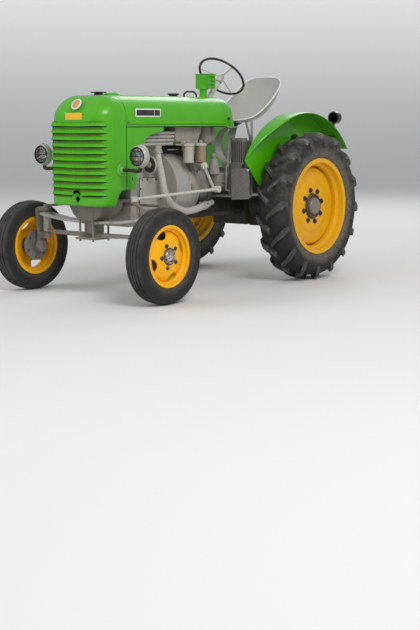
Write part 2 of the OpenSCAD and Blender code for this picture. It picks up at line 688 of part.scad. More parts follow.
// Caps and lifting handle on the bonnet's flat top. Each cap is [y, stem radius, stem height, cap radius,
// cap height].
module bonnet_fittings() color(gloss_black) from_front() {
    top = bonnet_top_z + seat_gap;
    for (cap = [[67, 32, 16, 58, 7], [905, 34, 13, 44, 13]]) translate([0, cap[0], top])
        rotate_extrude($fn = 96)
        polygon([[0, 0], [cap[1], 0], [cap[1], cap[2]], [cap[3], cap[2]], [cap[3], cap[2] + cap[4]],
            [0, cap[2] + cap[4]]]);
    h0 = seam_rear_y - 165;
    h1 = seam_rear_y - 12;
    bent_rod([[0, h0, top], [0, h0, top + 24], [0, h0 + 34, top + 43], [0, h1 - 34, top + 43],
        [0, h1, top + 24], [0, h1, top]], 7);
}

// Air intake on the dome: neck with a collar, and a box with side slots under an overhanging lid.
module intake_stack() color(green) from_front() {
    w = 63;
    y0 = stack_y - 18;
    y1 = stack_y + 78;
    z0 = bonnet_top_z + 70;
    z1 = z0 + 115;
    translate([0, stack_y, bonnet_top_z - 14]) cylinder(h = z0 - bonnet_top_z + 20, r = stack_neck_r);
    translate([0, stack_y, bonnet_top_z + seat_gap]) cylinder(h = 5, r = stack_neck_r + 12);
    translate([0, stack_y, z0 - 8]) cylinder(h = 10, r = stack_neck_r + 12);
    difference() {
        box([-w, y0, z0], [w, y1, z1]);
        for (z = [z0 + 20, z0 + 50, z0 + 80], s = [-1, 1])
            translate([s * w - 12, y0 + 14, z]) cube([24, y1 - y0 - 28, 14]);
    }
    box([-w - 3, y0 - 3, z1 - 4], [w + 3, y1 + 3, z1 + 2]);
}

tank_y = [manifold_y[1] + 6, 965];
tank_low_z = 1122;
filter_x = bell_r + 1;
filter_ys = [735, 882];

// Fuel tank on two saddles over the bell, with the pair of fuel filters on its left.
module fuel_system() color(cast_gray) from_front() {
    half_w = bonnet_half_w - 48;
    top_z = bonnet_top_z - 80;
    plate_x(-half_w, half_w)
        polygon([[tank_y[0], tank_low_z], [tank_y[1] - 45, tank_low_z], [tank_y[1], tank_low_z + 92],
            [tank_y[1], top_z], [tank_y[0], top_z]]);
    difference() {
        for (x = [-60, 60])
            box([x - 14, tank_y[0] + 10, bell_z + bell_r - 30], [x + 14, tank_y[0] + 55, tank_low_z + 5]);
        bell_form(seat_gap);
    }
    for (y = filter_ys) translate([filter_x, y, 0])
        rotate_extrude($fn = 64) polygon([
            [0, 949], [10, 949], [12, 960], [20, 966], [32, 971], [39, 980], [39, 1084], [44, 1087],
            [44, 1103], [32, 1110], [12, 1113], [12, 1122], [0, 1122]]);
    box([filter_x - 60, filter_ys[0] - 48, 1090], [filter_x, filter_ys[1] + 48, 1106]);
    box([filter_x - 44, filter_ys[0] - 105, 1093], [filter_x - 32, filter_ys[1] + 95, 1104]);
    box([min(half_w, filter_x - 58) - 12, filter_ys[0] - 20, 1092],
        [filter_x - 56, filter_ys[1] + 10, tank_low_z + 5]);
}

// Oil-bath air cleaner under the rear of the bonnet, held by a strap on the tank's rear end.
module air_cleaner() color(cast_gray) from_front() {
    r = 80;
    y = tank_y[1] + 175;
    translate([120, y, 0]) rotate_extrude($fn = 96) polygon([
        [0, 1086], [40, 1086], [66, 1096], [r - 2, 1114], [r, 1150], [r + 4, 1150], [r + 4, 1158], [r, 1158],
        [r, 1330], [0, 1330]]);
    box([100, tank_y[1] + seat_gap, 1240], [140, y, 1270]);
}

module radiator() color(dark_gray) from_front()
    box([-bonnet_half_w + 70, -60, support_top_z + seat_gap], [bonnet_half_w - 70, 30, bonnet_top_z - 110]);

rim_r = 10;

// Steering wheel: thin round rim, three rod spokes, hub and the top of its shaft.
module steering_wheel() color(gloss_black) from_front() translate(wheel_hub)
    rotate([-steering_wheel_tilt, 0, 0]) {
    rotate_extrude($fn = 96) translate([steering_wheel_r - rim_r, 0]) circle(r = rim_r, $fn = 24);
    translate([0, 0, -24]) cylinder(h = 34, r = 24);
    translate([0, 0, -70]) cylinder(h = 60, r = column_shaft_r);
    for (a = [90, 210, 330]) rotate([0, 0, a]) rod([18, 0, -6], [steering_wheel_r - rim_r, 0, 0], 4.5);
}

footboard_top_z = 692;
hoop_r = 143;
hoop_t = 6;
hoop_y = [dome_end_y - 97, dome_end_y - 17];
hoop_tab_y = [dome_end_y - 134, dome_end_y - 102];

// Bent wide straps that carry the dome on the footboards, each with a tab inside the dome's side.
module dash_hoop() color(cast_gray) from_front() both_sides() {
    cx = bonnet_half_w - 40;
    cz = bonnet_low_z - hoop_r - 6;
    top_z = cz + hoop_r - hoop_t / 2;
    in_x = bonnet_half_w - sheet_t - seat_gap;
    plate_y(hoop_y[0], hoop_y[1]) {
        difference() {
            translate([cx, cz]) circle(r = hoop_r + hoop_t / 2);
            translate([cx, cz]) circle(r = hoop_r - hoop_t / 2);
            translate([cx, cz - 300]) square([400, 600]);
        }
        translate([cx - hoop_t, footboard_top_z + seat_gap])
            square([hoop_t, cz - hoop_r + hoop_t / 2 - footboard_top_z - seat_gap]);
    }
    box([cx - 1, hoop_tab_y[0], top_z], [in_x, hoop_y[1], top_z + hoop_t]);
    box([in_x - hoop_t, hoop_tab_y[0], top_z], [in_x, hoop_tab_y[1], top_z + 20]);
}

// Lamps

bar_z = lamp_z - lamp_r - 14;
bar_y = -8;
pad_y = -35;
lamp_x = bonnet_half_w + lamp_out;

// Outer form of the left headlamp, turned about its own axis: a thick round bezel and a shallow bowl.
module lamp_form() translate([lamp_x, 0, lamp_z]) turned_y()
    polygon([[0, -52], [lamp_r - 19, -52], [lamp_r - 18, -59], [lamp_r - 14, -62], [lamp_r - 8, -58],
             [lamp_r - 3, -50], [lamp_r, -44], [lamp_r, -26], [lamp_r - 5, -18], [lamp_r - 15, -6],
             [lamp_r - 31, 8], [lamp_r - 51, 19], [0, 25]]);

// Lamp arms: a round boss on each side of the nose, the arm, and the pad under the lamp.
module lamp_bar() color(green) from_front() difference() {
    both_sides() {
        foot_x = bonnet_half_w + seat_gap;
        translate([0, bar_y, bar_z]) {
            drum_x(foot_x, foot_x + 6, 42);
            drum_x(foot_x, foot_x + 18, 27);
        }
        rod([foot_x + 8, bar_y, bar_z], [lamp_x, pad_y, bar_z - 6], 10);
        translate([lamp_x, pad_y, bar_z - 16]) cylinder(h = 40, r = 8);
    }
    both_sides() translate([lamp_x, 0, lamp_z]) drum_y(pad_y - 40, pad_y + 40, lamp_r + seat_gap, $fn = 96);
}

module headlamps() color(lamp_gray) from_front() both_sides() lamp_form();

module lamp_lenses() color(glass_gray) from_front() both_sides() translate([lamp_x, 0, lamp_z]) turned_y()
    polygon([[0, -66], [36, -64.5], [lamp_r - 19.5, -58], [lamp_r - 19.5, -52 - seat_gap],
             [0, -52 - seat_gap]]);

// Seat and fenders

seat_y = wheelbase - 96;
seat_t = 6;

// The seat's outer form, shrunk by d. Each row is [half width at its rim, y from the seat, height over
// the seat's bottom, radius]: front, middle, rear of the pan, and the upright back.
module seat_form(d) hull() for (s = [-1, 1])
    for (ball = [[seat_half_w - 20, -45, 100, 98], [seat_half_w, 60, 112, 112], [seat_half_w, 160, 118, 112],
                 [seat_half_w - 35, 305, 280, 100], [seat_half_w - 80, 330, seat_back_h - 62, 72]])
        translate([s * (ball[0] - ball[3]), seat_y + ball[1], seat_low_z + ball[2]])
            sphere(r = ball[3] - d, $fn = 32);

// Pressed steel bucket seat, cut along its rising rim.
module seat_pan() color(seat_gray) from_front() difference() {
    seat_form(0);
    seat_form(seat_t);
    plate_x(-seat_half_w - 50, seat_half_w + 50) translate([seat_y, seat_low_z])
        polygon([[-260, 8], [-152, 8], [-64, 26], [20, 62], [69, 100], [150, 152], [228, 196], [280, 250],
                 [318, 310], [345, 350], [362, seat_back_h], [362, 700], [-260, 700]]);
}

// Curved flat spring that carries the seat on the gearbox.
module seat_bracket() color(cast_gray) from_front() plate_x(-30, 30) polygon([
    [axle_front_y - 60, gearbox_top_z + seat_gap], [axle_front_y + 80, rear_z + 256 + seat_gap + 55],
    [axle_front_y + 60, gearbox_top_z + 70], [axle_front_y - 20, gearbox_top_z + 25],
        [axle_front_y - 28, gearbox_top_z + 60],
    [seat_y - 20, seat_low_z - 40], [seat_y + 60, seat_low_z - 12 - seat_gap],
        [seat_y + 140, seat_low_z - 12 - seat_gap],
    [seat_y + 140, seat_low_z - seat_gap], [seat_y + 40, seat_low_z - seat_gap],
        [seat_y - 40, seat_low_z - 30],
    [axle_front_y - 60, gearbox_top_z + 60]]);

fender_r = rear_tyre_r + fender_clear;
fender_wall_x = tyre_in_x - fender_gap - sheet_t;
fender_out_x = fender_wall_x + sheet_t + fender_w;
fender_front_a = 32;
fender_rear_a = 38;

// Fender sheet over the wheel, which narrows to a point at its front tip.
module fender_sheet() intersection() {
    translate([fender_wall_x, wheelbase, rear_z]) rotate([0, 90, 0]) rotate([0, 0, 90 + fender_rear_a])
        rotate_extrude(angle = 180 - fender_front_a - fender_rear_a, $fn = 96)
            translate([fender_r, 0]) square([sheet_t, fender_w + sheet_t]);
    tip_y = wheelbase - fender_r * cos(fender_front_a);
    linear_extrude(height = 2 * bonnet_top_z) polygon([
        [fender_wall_x, tip_y - 20], [fender_wall_x + sheet_t + 4, tip_y - 8],
            [fender_wall_x + 45, tip_y + 55],
        [fender_wall_x + 90, tip_y + 130], [fender_wall_x + 135, tip_y + 235], [fender_out_x, tip_y + 340],
        [fender_out_x, wheelbase + fender_r], [fender_wall_x, wheelbase + fender_r]]);
}

module fender_wall() translate([0, wheelbase, rear_z]) plate_x(fender_wall_x, fender_wall_x + sheet_t)
    intersection() {
        circle(r = fender_r + sheet_t / 2, $fn = 96);
        polygon([[-700, 437], [-500, 222], [-420, 160], [420, 160], [500, 300], [640, 500], [400, 900],
            [-400, 900]]);
    }

module fenders() color(green) from_front() both_sides() {
    fender_sheet();
    fender_wall();
}

// Rear lamps, each on a short stem that stands on the fender's sheet.
module rear_lamps() color(gloss_black) from_front() both_sides() {
    x = fender_wall_x + 74;
    y = wheelbase + 510;
    translate([x, y - 10, rear_z + 706]) drum_y(0, 50, 52);
    difference() {
        rod([x, y, rear_z + 520], [x, y, rear_z + 676], 10);
        translate([0, wheelbase, rear_z]) drum_x(x - 30, x + 30, fender_r + sheet_t + seat_gap, $fn = 96);
    }
}

board_in_x = gearbox_half_w + seat_gap;
board_out_x = tyre_in_x - 10;
board_end_y = axle_front_y - 20;
toe_y = 1195;
toe_top_z = 911;
toe_in_x = board_in_x + 194;
lever_x = board_in_x + 165;

// Footboards on both sides of the gearbox, each with its upright toe plate.
module footboards() color(cast_gray) from_front() both_sides() {
    box([board_in_x, toe_y, footboard_top_z - 12], [board_out_x, toe_y + 26, footboard_top_z]);
    box([board_in_x, toe_y + 25, footboard_top_z - 10], [board_out_x - 24, board_end_y, footboard_top_z]);
    plate_y(toe_y, toe_y + 6)
        polygon([[toe_in_x + 6, 662], [board_out_x, 672], [board_out_x, 851],
                 [board_out_x - 34, toe_top_z], [toe_in_x, toe_top_z]]);
}

// Battery box on the toe plate.
module battery_box() color(dark_gray) from_front() {
    x0 = lever_x + 13;
    x1 = x0 + 117;
    box([x0 + 18, toe_y, toe_top_z + seat_gap], [x1, toe_y + 6, 942]);
    box([x0 - 2, toe_y, 934], [x1 + 2, toe_y + 140, 944]);
    box([x0, toe_y + 14, 943], [x1, toe_y + 130, 1127]);
    box([x0 + 25, toe_y + 30, 1120], [x1 - 15, toe_y + 100, 1142]);
}

// Pedals and hand levers on the footboards. Each is [radius, row of points].
module levers() color(cast_gray) from_front() {
    foot_z = footboard_top_z + seat_gap;
    x = lever_x;
    stands = [
        [8, [[x, toe_y + 60, foot_z], [x, toe_y + 60, foot_z + 22], [x, toe_y - 30, 742],
            [x, toe_y - 26, 912],
             [x, toe_y - 5, 933], [x, toe_y + 8, 1127]]],
        [6, [[x - 12, toe_y - 143, 804], [x - 12, toe_y - 12, 808]]],
        [9, [[x + 70, toe_y + 195, foot_z], [x + 70, toe_y + 195, foot_z + 40], [x + 73, toe_y + 198, 1117],
             [x + 75, toe_y + 130, 1273]]],
        [9, [[x + 95, toe_y + 180, foot_z], [x + 95, toe_y + 180, foot_z + 40], [x + 95, toe_y + 183, 1156],
             [x + 95, toe_y + 181, 1290]]]];
    for (stand = stands) bent_rod(stand[1], stand[0]);
}

// Rear drawbar with its pin hole and the power take-off shaft.
module hitch() color(dark_gray) from_front() difference() {
    y = axle_rear_y + seat_gap;
    z = rear_z - 194;
    union() {
        box([-35, y, z], [35, y + 250, z + 24]);
        box([-80, y, z - 14], [80, y + 24, z + 160]);
        translate([0, 0, z + 200]) drum_y(y, y + 30, 55);
        translate([0, 0, z + 200]) drum_y(y + 20, y + 100, 17.5);
    }
    translate([0, y + 215, z - 20]) cylinder(h = 80, r = 13);
}

tyre_front_left();
tyre_front_right();
tyre_rear_left();
tyre_rear_right();
wheel_front_left();
wheel_front_right();
wheel_rear_left();
wheel_rear_right();
knuckle_left();
knuckle_right();
tie_rod();
drop_arm();
drag_link();
front_support();
leaf_spring();
upper_arms();
engine_block();
exhaust_manifold();
exhaust_pipe();
bell_housing();
steering_gear();
gearbox();
rear_axle();
fuel_system();
air_cleaner();
radiator();
bonnet();
nose();
tank_dome();
side_panels();
bonnet_fittings();
intake_stack();
steering_wheel();
dash_hoop();
lamp_bar();
headlamps();
lamp_lenses();
seat_pan();
seat_bracket();
fenders();
rear_lamps();
footboards();
battery_box();
levers();
hitch();
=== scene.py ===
"""Dresses the frame of a small 1950s farm tractor: smooth sheet metal, tyres, lamps, seat, trim and finishes."""
import json
import math
import random

import bpy
from bpy.props import FloatProperty, FloatVectorProperty, IntProperty, PointerProperty
from mathutils import Matrix, Vector

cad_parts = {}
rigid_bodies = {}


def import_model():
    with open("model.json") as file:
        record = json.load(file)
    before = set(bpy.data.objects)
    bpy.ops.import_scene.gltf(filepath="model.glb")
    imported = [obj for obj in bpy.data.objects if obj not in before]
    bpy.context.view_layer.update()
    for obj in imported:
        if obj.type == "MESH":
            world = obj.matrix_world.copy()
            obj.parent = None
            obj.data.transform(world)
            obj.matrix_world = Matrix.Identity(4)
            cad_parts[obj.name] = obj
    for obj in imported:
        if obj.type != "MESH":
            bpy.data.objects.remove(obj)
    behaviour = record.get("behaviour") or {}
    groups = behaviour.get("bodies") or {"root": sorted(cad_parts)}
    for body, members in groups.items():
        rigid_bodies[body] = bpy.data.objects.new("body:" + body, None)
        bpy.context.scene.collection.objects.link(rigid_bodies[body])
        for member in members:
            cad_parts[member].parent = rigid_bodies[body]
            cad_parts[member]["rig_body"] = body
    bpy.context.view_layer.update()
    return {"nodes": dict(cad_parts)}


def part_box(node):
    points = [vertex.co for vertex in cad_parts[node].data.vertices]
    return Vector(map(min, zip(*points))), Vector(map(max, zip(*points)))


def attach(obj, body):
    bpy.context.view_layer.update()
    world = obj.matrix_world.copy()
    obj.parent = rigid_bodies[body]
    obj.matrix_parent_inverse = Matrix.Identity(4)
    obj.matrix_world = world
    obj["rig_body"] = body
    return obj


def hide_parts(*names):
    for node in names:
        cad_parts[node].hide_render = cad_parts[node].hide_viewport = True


bl_info = {"name": "Farm tractor dressing", "version": (1, 0, 0), "blender": (4, 5, 0),
    "location": "3D View > Sidebar > Tractor",
    "description": "Models the visible pieces of a small farm tractor over its frame", "category": "Object"}

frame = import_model()

MM = 0.001
AXLE_Y = (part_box("tyre_front_left")[0].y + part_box("tyre_front_left")[1].y) / 2
FRONT_HUB = (0, 0, 340)
REAR_HUB = (0, 1810, 594)
FRONT_WHEEL = (668.5, 0, 340)
REAR_WHEEL = (667, 1810, 594)
X, Y, Z = Vector((1, 0, 0)), Vector((0, 1, 0)), Vector((0, 0, 1))


# Modelling helpers. Sizes and places are in millimetres from the ground point under the front axle.

def at(x, y, z):
    return Vector((x * MM, y * MM + AXLE_Y, z * MM))


def mode(name):
    bpy.ops.object.mode_set(mode=name)


def deselect():
    if bpy.context.object and bpy.context.object.mode != "OBJECT":
        mode("OBJECT")
    bpy.ops.object.select_all(action="DESELECT")


def only(piece):
    deselect()
    piece.select_set(True)
    bpy.context.view_layer.objects.active = piece


def opened(piece):
    """Enters edit mode with the whole mesh selected."""
    only(piece)
    mode("EDIT")
    bpy.ops.mesh.select_all(action="SELECT")


def new_piece(name, make, **settings):
    """What a call of bpy.ops adds, under its own name."""
    deselect()
    make(**settings)
    piece = bpy.context.object
    piece.name = name
    return piece


def place_applied():
    bpy.ops.object.transform_apply(location=True, rotation=True, scale=True)


MERGE = 0.00002  # corners this near to each other, in metres, are one


def close_up(piece, fill=False):
    """Merges doubles, closes the open ends where asked, and turns the faces outwards."""
    opened(piece)
    bpy.ops.mesh.remove_doubles(threshold=MERGE)
    bpy.ops.mesh.delete_loose()
    if fill:
        bpy.ops.mesh.select_all(action="SELECT")
        bpy.ops.mesh.fill_holes(sides=0)
    bpy.ops.mesh.select_all(action="SELECT")
    bpy.ops.mesh.normals_make_consistent(inside=False)
    mode("OBJECT")


def modified(piece, kind, **settings):
    """Adds a modifier with these settings and applies it."""
    only(piece)
    modifier = piece.modifiers.new(kind.lower(), kind)
    for key, value in settings.items():
        setattr(modifier, key, value)
    bpy.ops.object.modifier_apply(modifier=modifier.name)


def bevelled(piece, width, segments=2, **settings):
    """Softens the sharp edges."""
    modified(piece, "BEVEL", width=width * MM, segments=segments, limit_method="ANGLE", **settings)


def lofted(name, rows, closed=False, caps=False):
    """A grid whose rows of corners lie on the given rows of points."""
    count = len(rows[0])
    wide = count + 1 if closed else count
    piece = new_piece(name, bpy.ops.mesh.primitive_grid_add, size=1, x_subdivisions=wide - 1,
        y_subdivisions=len(rows) - 1)
    for i, row in enumerate(rows):
        for j in range(wide):
            piece.data.vertices[i * wide + j].co = row[j % count]
    close_up(piece, fill=caps)
    return piece


def turned(name, profile, centre, axis=X, steps=48):
    """A profile of [radius, along the axis] points, spun once round the axis."""
    piece = new_piece(name, bpy.ops.mesh.primitive_circle_add, vertices=len(profile), fill_type="NOTHING")
    side = axis.orthogonal().normalized()
    middle = at(*centre)
    for vertex, (radius, along) in zip(piece.data.vertices, profile):
        vertex.co = middle + side * radius * MM + axis * along * MM
    opened(piece)
    bpy.ops.mesh.spin(steps=steps, angle=2 * math.pi, center=middle, axis=axis)
    close_up(piece)
    return piece


def plate(name, outline, push, bevel=0.0):
    """A flat outline of points, extruded by push (in millimetres) and softened along its edges."""
    piece = new_piece(name, bpy.ops.mesh.primitive_circle_add, vertices=len(outline), fill_type="NGON")
    for vertex, point in zip(piece.data.vertices, outline):
        vertex.co = at(*point)
    opened(piece)
    bpy.ops.mesh.extrude_region_move(TRANSFORM_OT_translate={"value": Vector(push) * MM})
    close_up(piece)
    if bevel:
        bevelled(piece, bevel)
    return piece


def block(name, low, high, bevel=2.0, segments=2):
    """A box between two corners with softened edges."""
    a, b = at(*low), at(*high)
    piece = new_piece(name, bpy.ops.mesh.primitive_cube_add, size=1, location=(a + b) / 2)
    piece.scale = b - a
    place_applied()
    bevelled(piece, bevel, segments)
    return piece


def tube(name, points, radius, sides=4, smooth=6, order=3):
    """A round pipe along a smooth path through the bends."""
    piece = new_piece(name, bpy.ops.curve.primitive_nurbs_path_add)
    curve = piece.data
    curve.splines.clear()
    spline = curve.splines.new("NURBS")
    spline.points.add(len(points) - 1)
    for target, point in zip(spline.points, points):
        target.co = (*at(*point), 1)
    spline.order_u = min(order, len(points))
    spline.use_endpoint_u = True
    spline.resolution_u = smooth
    curve.dimensions = "3D"
    curve.bevel_depth = radius * MM
    curve.bevel_resolution = sides
    curve.use_fill_caps = True
    bpy.ops.object.convert(target="MESH")
    close_up(piece)
    return piece


def rod(name, start, end, radius, sides=20):
    """A straight round rod with softened ends."""
    a, b = at(*start), at(*end)
    piece = new_piece(name, bpy.ops.mesh.primitive_cylinder_add, vertices=sides, radius=radius * MM,
        depth=(b - a).length)
    piece.matrix_world = Matrix.Translation((a + b) / 2) @ (b - a).to_track_quat("Z", "Y").to_matrix().to_4x4()
    place_applied()
    bevelled(piece, min(radius * 0.15, 1.5), 1, angle_limit=1.0)
    return piece


def copied(piece, matrix):
    """A copy with its own mesh, moved by the matrix."""
    only(piece)
    bpy.ops.object.duplicate(linked=False)
    copy = bpy.context.object
    copy.matrix_world = matrix @ piece.matrix_world
    place_applied()
    return copy


def cut_away(piece, cutter):
    modified(piece, "BOOLEAN", operation="DIFFERENCE", object=cutter, solver="EXACT")
    bpy.data.objects.remove(cutter)


def joined(name, pieces):
    deselect()
    for piece in pieces:
        piece.select_set(True)
    bpy.context.view_layer.objects.active = pieces[0]
    if len(pieces) > 1:
        bpy.ops.object.join()
    result = bpy.context.object
    result.name = name
    return result


def mirrored(piece, name):
    """A copy on the tractor's other side."""
    copy = copied(piece, Matrix.Scale(-1, 4, X))
    copy.name = name
    close_up(copy)
    return copy


def between(points, x):
    """The value at x on the line through (x, value) points; it is level beyond both ends."""
    for (x0, v0), (x1, v1) in zip(points, points[1:]):
        if x <= x0:
            return v0
        if x <= x1:
            return v0 + (v1 - v0) * (x - x0) / (x1 - x0)
    return points[-1][1]


def placed(piece, matrix):
    """Moves a piece that was modelled at (0, 0, 0) to where the matrix puts it."""
    piece.data.transform(matrix @ Matrix.Translation(-at(0, 0, 0)))
    return piece


def round_wheel(wheel, out, radius, count, first):
    """Spots spaced evenly round a wheel's axle, the first so many degrees past the top."""
    turns = (math.radians(360 / count * i + first) for i in range(count))
    return [(wheel[0] + out, wheel[1] + radius * math.sin(a), wheel[2] + radius * math.cos(a)) for a in turns]


def pair(name, piece):
    """A left piece and its mirror image in one."""
    return joined(name, [piece, mirrored(piece, "other_side")])


def bolts(name, spots, axis, radius=8.0, height=7.0):
    """Hexagon heads on washers: one is modelled, and the others are copies at the spots."""
    cylinder = bpy.ops.mesh.primitive_cylinder_add
    head = new_piece("bolt_head", cylinder, vertices=6, radius=radius * MM, depth=height * MM,
        location=(0, 0, height * MM / 2 + 0.0015))
    modified(head, "BEVEL", width=radius * 0.12 * MM, segments=1)
    washer = new_piece("bolt_washer", cylinder, vertices=16, radius=radius * 1.45 * MM, depth=0.002,
        location=(0, 0, 0.001))
    first = joined(name, [head, washer])
    place_applied()
    turn = Vector(axis).to_track_quat("Z", "Y").to_matrix().to_4x4()
    made = [copied(first, Matrix.Translation(at(*spot)) @ turn) for spot in spots]
    bpy.data.objects.remove(first)
    return joined(name, made)


def finished(piece, look, replaces=(), smooth=38, body="chassis"):
    """Bakes the piece's place, shades it, gives it its material and hangs it on its body."""
    only(piece)
    place_applied()
    bpy.ops.object.shade_smooth_by_angle(angle=math.radians(smooth))
    piece.data.materials.clear()
    piece.data.materials.append(LOOKS[look])
    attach(piece, body)
    if replaces:
        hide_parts(*replaces)
    return piece


def softened(node, look, edge=1.5, smooth=38):
    """A smooth copy of a frame node with softened edges, which stands for it."""
    source = frame["nodes"][node]
    body = source["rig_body"]
    copy = bpy.data.objects.new(node + "_dressed", source.data.copy())
    bpy.context.scene.collection.objects.link(copy)
    opened(copy)
    bpy.ops.mesh.remove_doubles(threshold=0.00003)
    bpy.ops.mesh.dissolve_limited(angle_limit=math.radians(1))
    mode("OBJECT")
    if edge:
        bevelled(copy, edge, angle_limit=math.radians(40), use_clamp_overlap=True)
    return finished(copy, look, [node], smooth, body)


# Materials. Patterns read Object coordinates, which are the tractor's own metres.

def colour(value):
    """A colour with its alpha; a socket stays as it is."""
    return value if isinstance(value, bpy.types.NodeSocket) else (*value[:3], 1.0)


def scaled(paint, *by):
    """A paint made darker or paler, by one factor or by one for each channel."""
    return [min(value * factor, 1.0) for value, factor in zip(paint, by if len(by) == 3 else by * 3)]


class Nodes:
    """A short hand for building a node tree: add() makes a node, sets it up and links its inputs."""

    def __init__(self, tree):
        self.tree = tree

    def add(self, kind, inputs=(), **settings):
        node = self.tree.nodes.new(kind)
        for key, value in settings.items():
            setattr(node, key, value)
        for key, value in dict(inputs).items():
            if isinstance(value, bpy.types.NodeSocket):
                self.link(value, node.inputs[key])
            else:
                node.inputs[key].default_value = value
        return node

    def link(self, value, socket):
        self.tree.links.new(value, socket)

    def math(self, operation, first, second=0.0, clamp=False):
        return self.add("ShaderNodeMath", {0: first, 1: second}, operation=operation, use_clamp=clamp).outputs[0]

    def plus(self, first, second, clamp=False):
        return self.math("ADD", first, second, clamp)

    def minus(self, first, second, clamp=False):
        return self.math("SUBTRACT", first, second, clamp)

    def times(self, first, second):
        return self.math("MULTIPLY", first, second)

    def vector(self, operation, *values, output=0):
        return self.add("ShaderNodeVectorMath", enumerate(values), operation=operation).outputs[output]

    def part(self, vector, axis):
        return self.add("ShaderNodeSeparateXYZ", {0: vector}).outputs[axis]

    def mix(self, factor, first, second):
        inputs = {0: factor, 6: colour(first), 7: colour(second)}
        return self.add("ShaderNodeMix", inputs, data_type="RGBA").outputs[2]

    def layered(self, tone, *layers):
        """A tone with each (mask, colour) laid over it in turn."""
        for mask, over in layers:
            tone = self.mix(mask, tone, over)
        return tone

    def ramp(self, value, low, high, start=0.0, end=1.0):
        return self.add("ShaderNodeMapRange", {0: value, 1: low, 2: high, 3: start, 4: end},
            interpolation_type="SMOOTHSTEP").outputs[0]

    def noise(self, vector, scale, detail=4.0, roughness=0.55):
        return self.add("ShaderNodeTexNoise", {"Vector": vector, "Scale": scale, "Detail": detail,
            "Roughness": roughness}).outputs["Fac"]

    def shared(self, name, place, **inputs):
        """What a shared effect puts out at this place."""
        return self.add("ShaderNodeGroup", dict(inputs, Vector=place), node_tree=EFFECTS[name]).outputs[0]


EFFECTS = {}


def effect(name, output, **inputs):
    """A shader node group that reads Vector and the named inputs; returns its nodes, inputs and output."""
    group = bpy.data.node_groups.new(name, "ShaderNodeTree")
    group.interface.new_socket("Vector", in_out="INPUT", socket_type="NodeSocketVector")
    for label, default in inputs.items():
        kind = "NodeSocketVector" if isinstance(default, tuple) else "NodeSocketFloat"
        group.interface.new_socket(label, in_out="INPUT", socket_type=kind).default_value = default
    kind = "NodeSocketVector" if output == "Normal" else "NodeSocketFloat"
    group.interface.new_socket(output, in_out="OUTPUT", socket_type=kind)
    EFFECTS[name] = group
    nodes = Nodes(group)
    return nodes, nodes.add("NodeGroupInput").outputs, nodes.add("NodeGroupOutput").inputs[output]


def patches_effect():
    """Blotches where the noise is over a level."""
    n, given, out = effect("patches", "Mask", Scale=6.0, Level=0.55, Softness=0.08)
    value = n.noise(given["Vector"], given["Scale"], 6.0, 0.62)
    low, high = n.minus(given["Level"], given["Softness"]), n.plus(given["Level"], given["Softness"])
    n.link(n.ramp(value, low, high), out)


def runs_effect():
    """Dirt that has run down: noise drawn out along Z."""
    n, given, out = effect("runs", "Mask", Scale=20.0, Level=0.56)
    drawn = n.add("ShaderNodeMapping", {"Vector": given["Vector"], "Scale": (1.0, 1.0, 0.09)}).outputs[0]
    value = n.noise(drawn, given["Scale"], 5.0, 0.6)
    n.link(n.ramp(value, given["Level"], n.plus(given["Level"], 0.16)), out)


def dust_effect():
    """Dust on what faces up, broken by noise."""
    n, given, out = effect("dust", "Mask", Scale=9.0)
    up = n.part(n.add("ShaderNodeNewGeometry").outputs["Normal"], "Z")
    value = n.noise(given["Vector"], given["Scale"], 6.0, 0.6)
    n.link(n.times(n.ramp(up, 0.15, 0.95), n.ramp(value, 0.3, 0.75)), out)


def ground_effect():
    """Splashed dirt that fades out with height."""
    n, given, out = effect("ground_dirt", "Mask", Height=0.7, Scale=12.0)
    low = n.minus(1.0, n.math("DIVIDE", n.part(given["Vector"], "Z"), given["Height"]), clamp=True)
    value = n.noise(given["Vector"], given["Scale"], 6.0, 0.6)
    n.link(n.ramp(n.plus(low, n.minus(value, 0.5)), 0.1, 0.9), out)


def relief_effect():
    """Fine bumps: cast skin, orange peel or rubber grain."""
    n, given, out = effect("relief", "Normal", Scale=200.0, Strength=0.2, Distance=0.001)
    value = n.noise(given["Vector"], given["Scale"], 3.0, 0.6)
    bump = n.add("ShaderNodeBump", {"Strength": given["Strength"], "Distance": given["Distance"], "Height": value})
    n.link(bump.outputs[0], out)


def axle_effect():
    """How far a point is from a wheel's axle, whose place is Centre."""
    n, given, out = effect("from_axle", "Radius", Centre=(0.0, 0.0, 0.0))
    away = n.vector("SUBTRACT", given["Vector"], given["Centre"])
    n.link(n.vector("LENGTH", n.vector("MULTIPLY", away, (0.0, 1.0, 1.0)), output="Value"), out)


def material(name, roughness=0.5, metallic=0.0, coat=0.0, transmission=0.0, ior=1.45):
    """A new material: its nodes, its Principled shader and its Object coordinates."""
    made = bpy.data.materials.new(name)
    made.use_nodes = True
    nodes = Nodes(made.node_tree)
    shader = made.node_tree.nodes["Principled BSDF"]
    for label, value in (("Roughness", roughness), ("Metallic", metallic), ("Coat Weight", coat),
            ("Coat Roughness", 0.05), ("Transmission Weight", transmission), ("IOR", ior)):
        shader.inputs[label].default_value = value
    return made, nodes, shader, nodes.add("ShaderNodeTexCoord").outputs["Object"]


def reopened(made):
    """What it takes to paint over a material: its nodes, shader, tone so far and Object coordinates."""
    n, shader = Nodes(made.node_tree), made.node_tree.nodes["Principled BSDF"]
    tone = shader.inputs["Base Color"].links[0].from_socket
    return n, shader, tone, n.add("ShaderNodeTexCoord").outputs["Object"]


def grained(n, shader, place, scale, strength, distance=0.001):
    """Gives a material its fine bumps."""
    n.link(n.shared("relief", place, Scale=scale, Strength=strength, Distance=distance), shader.inputs["Normal"])


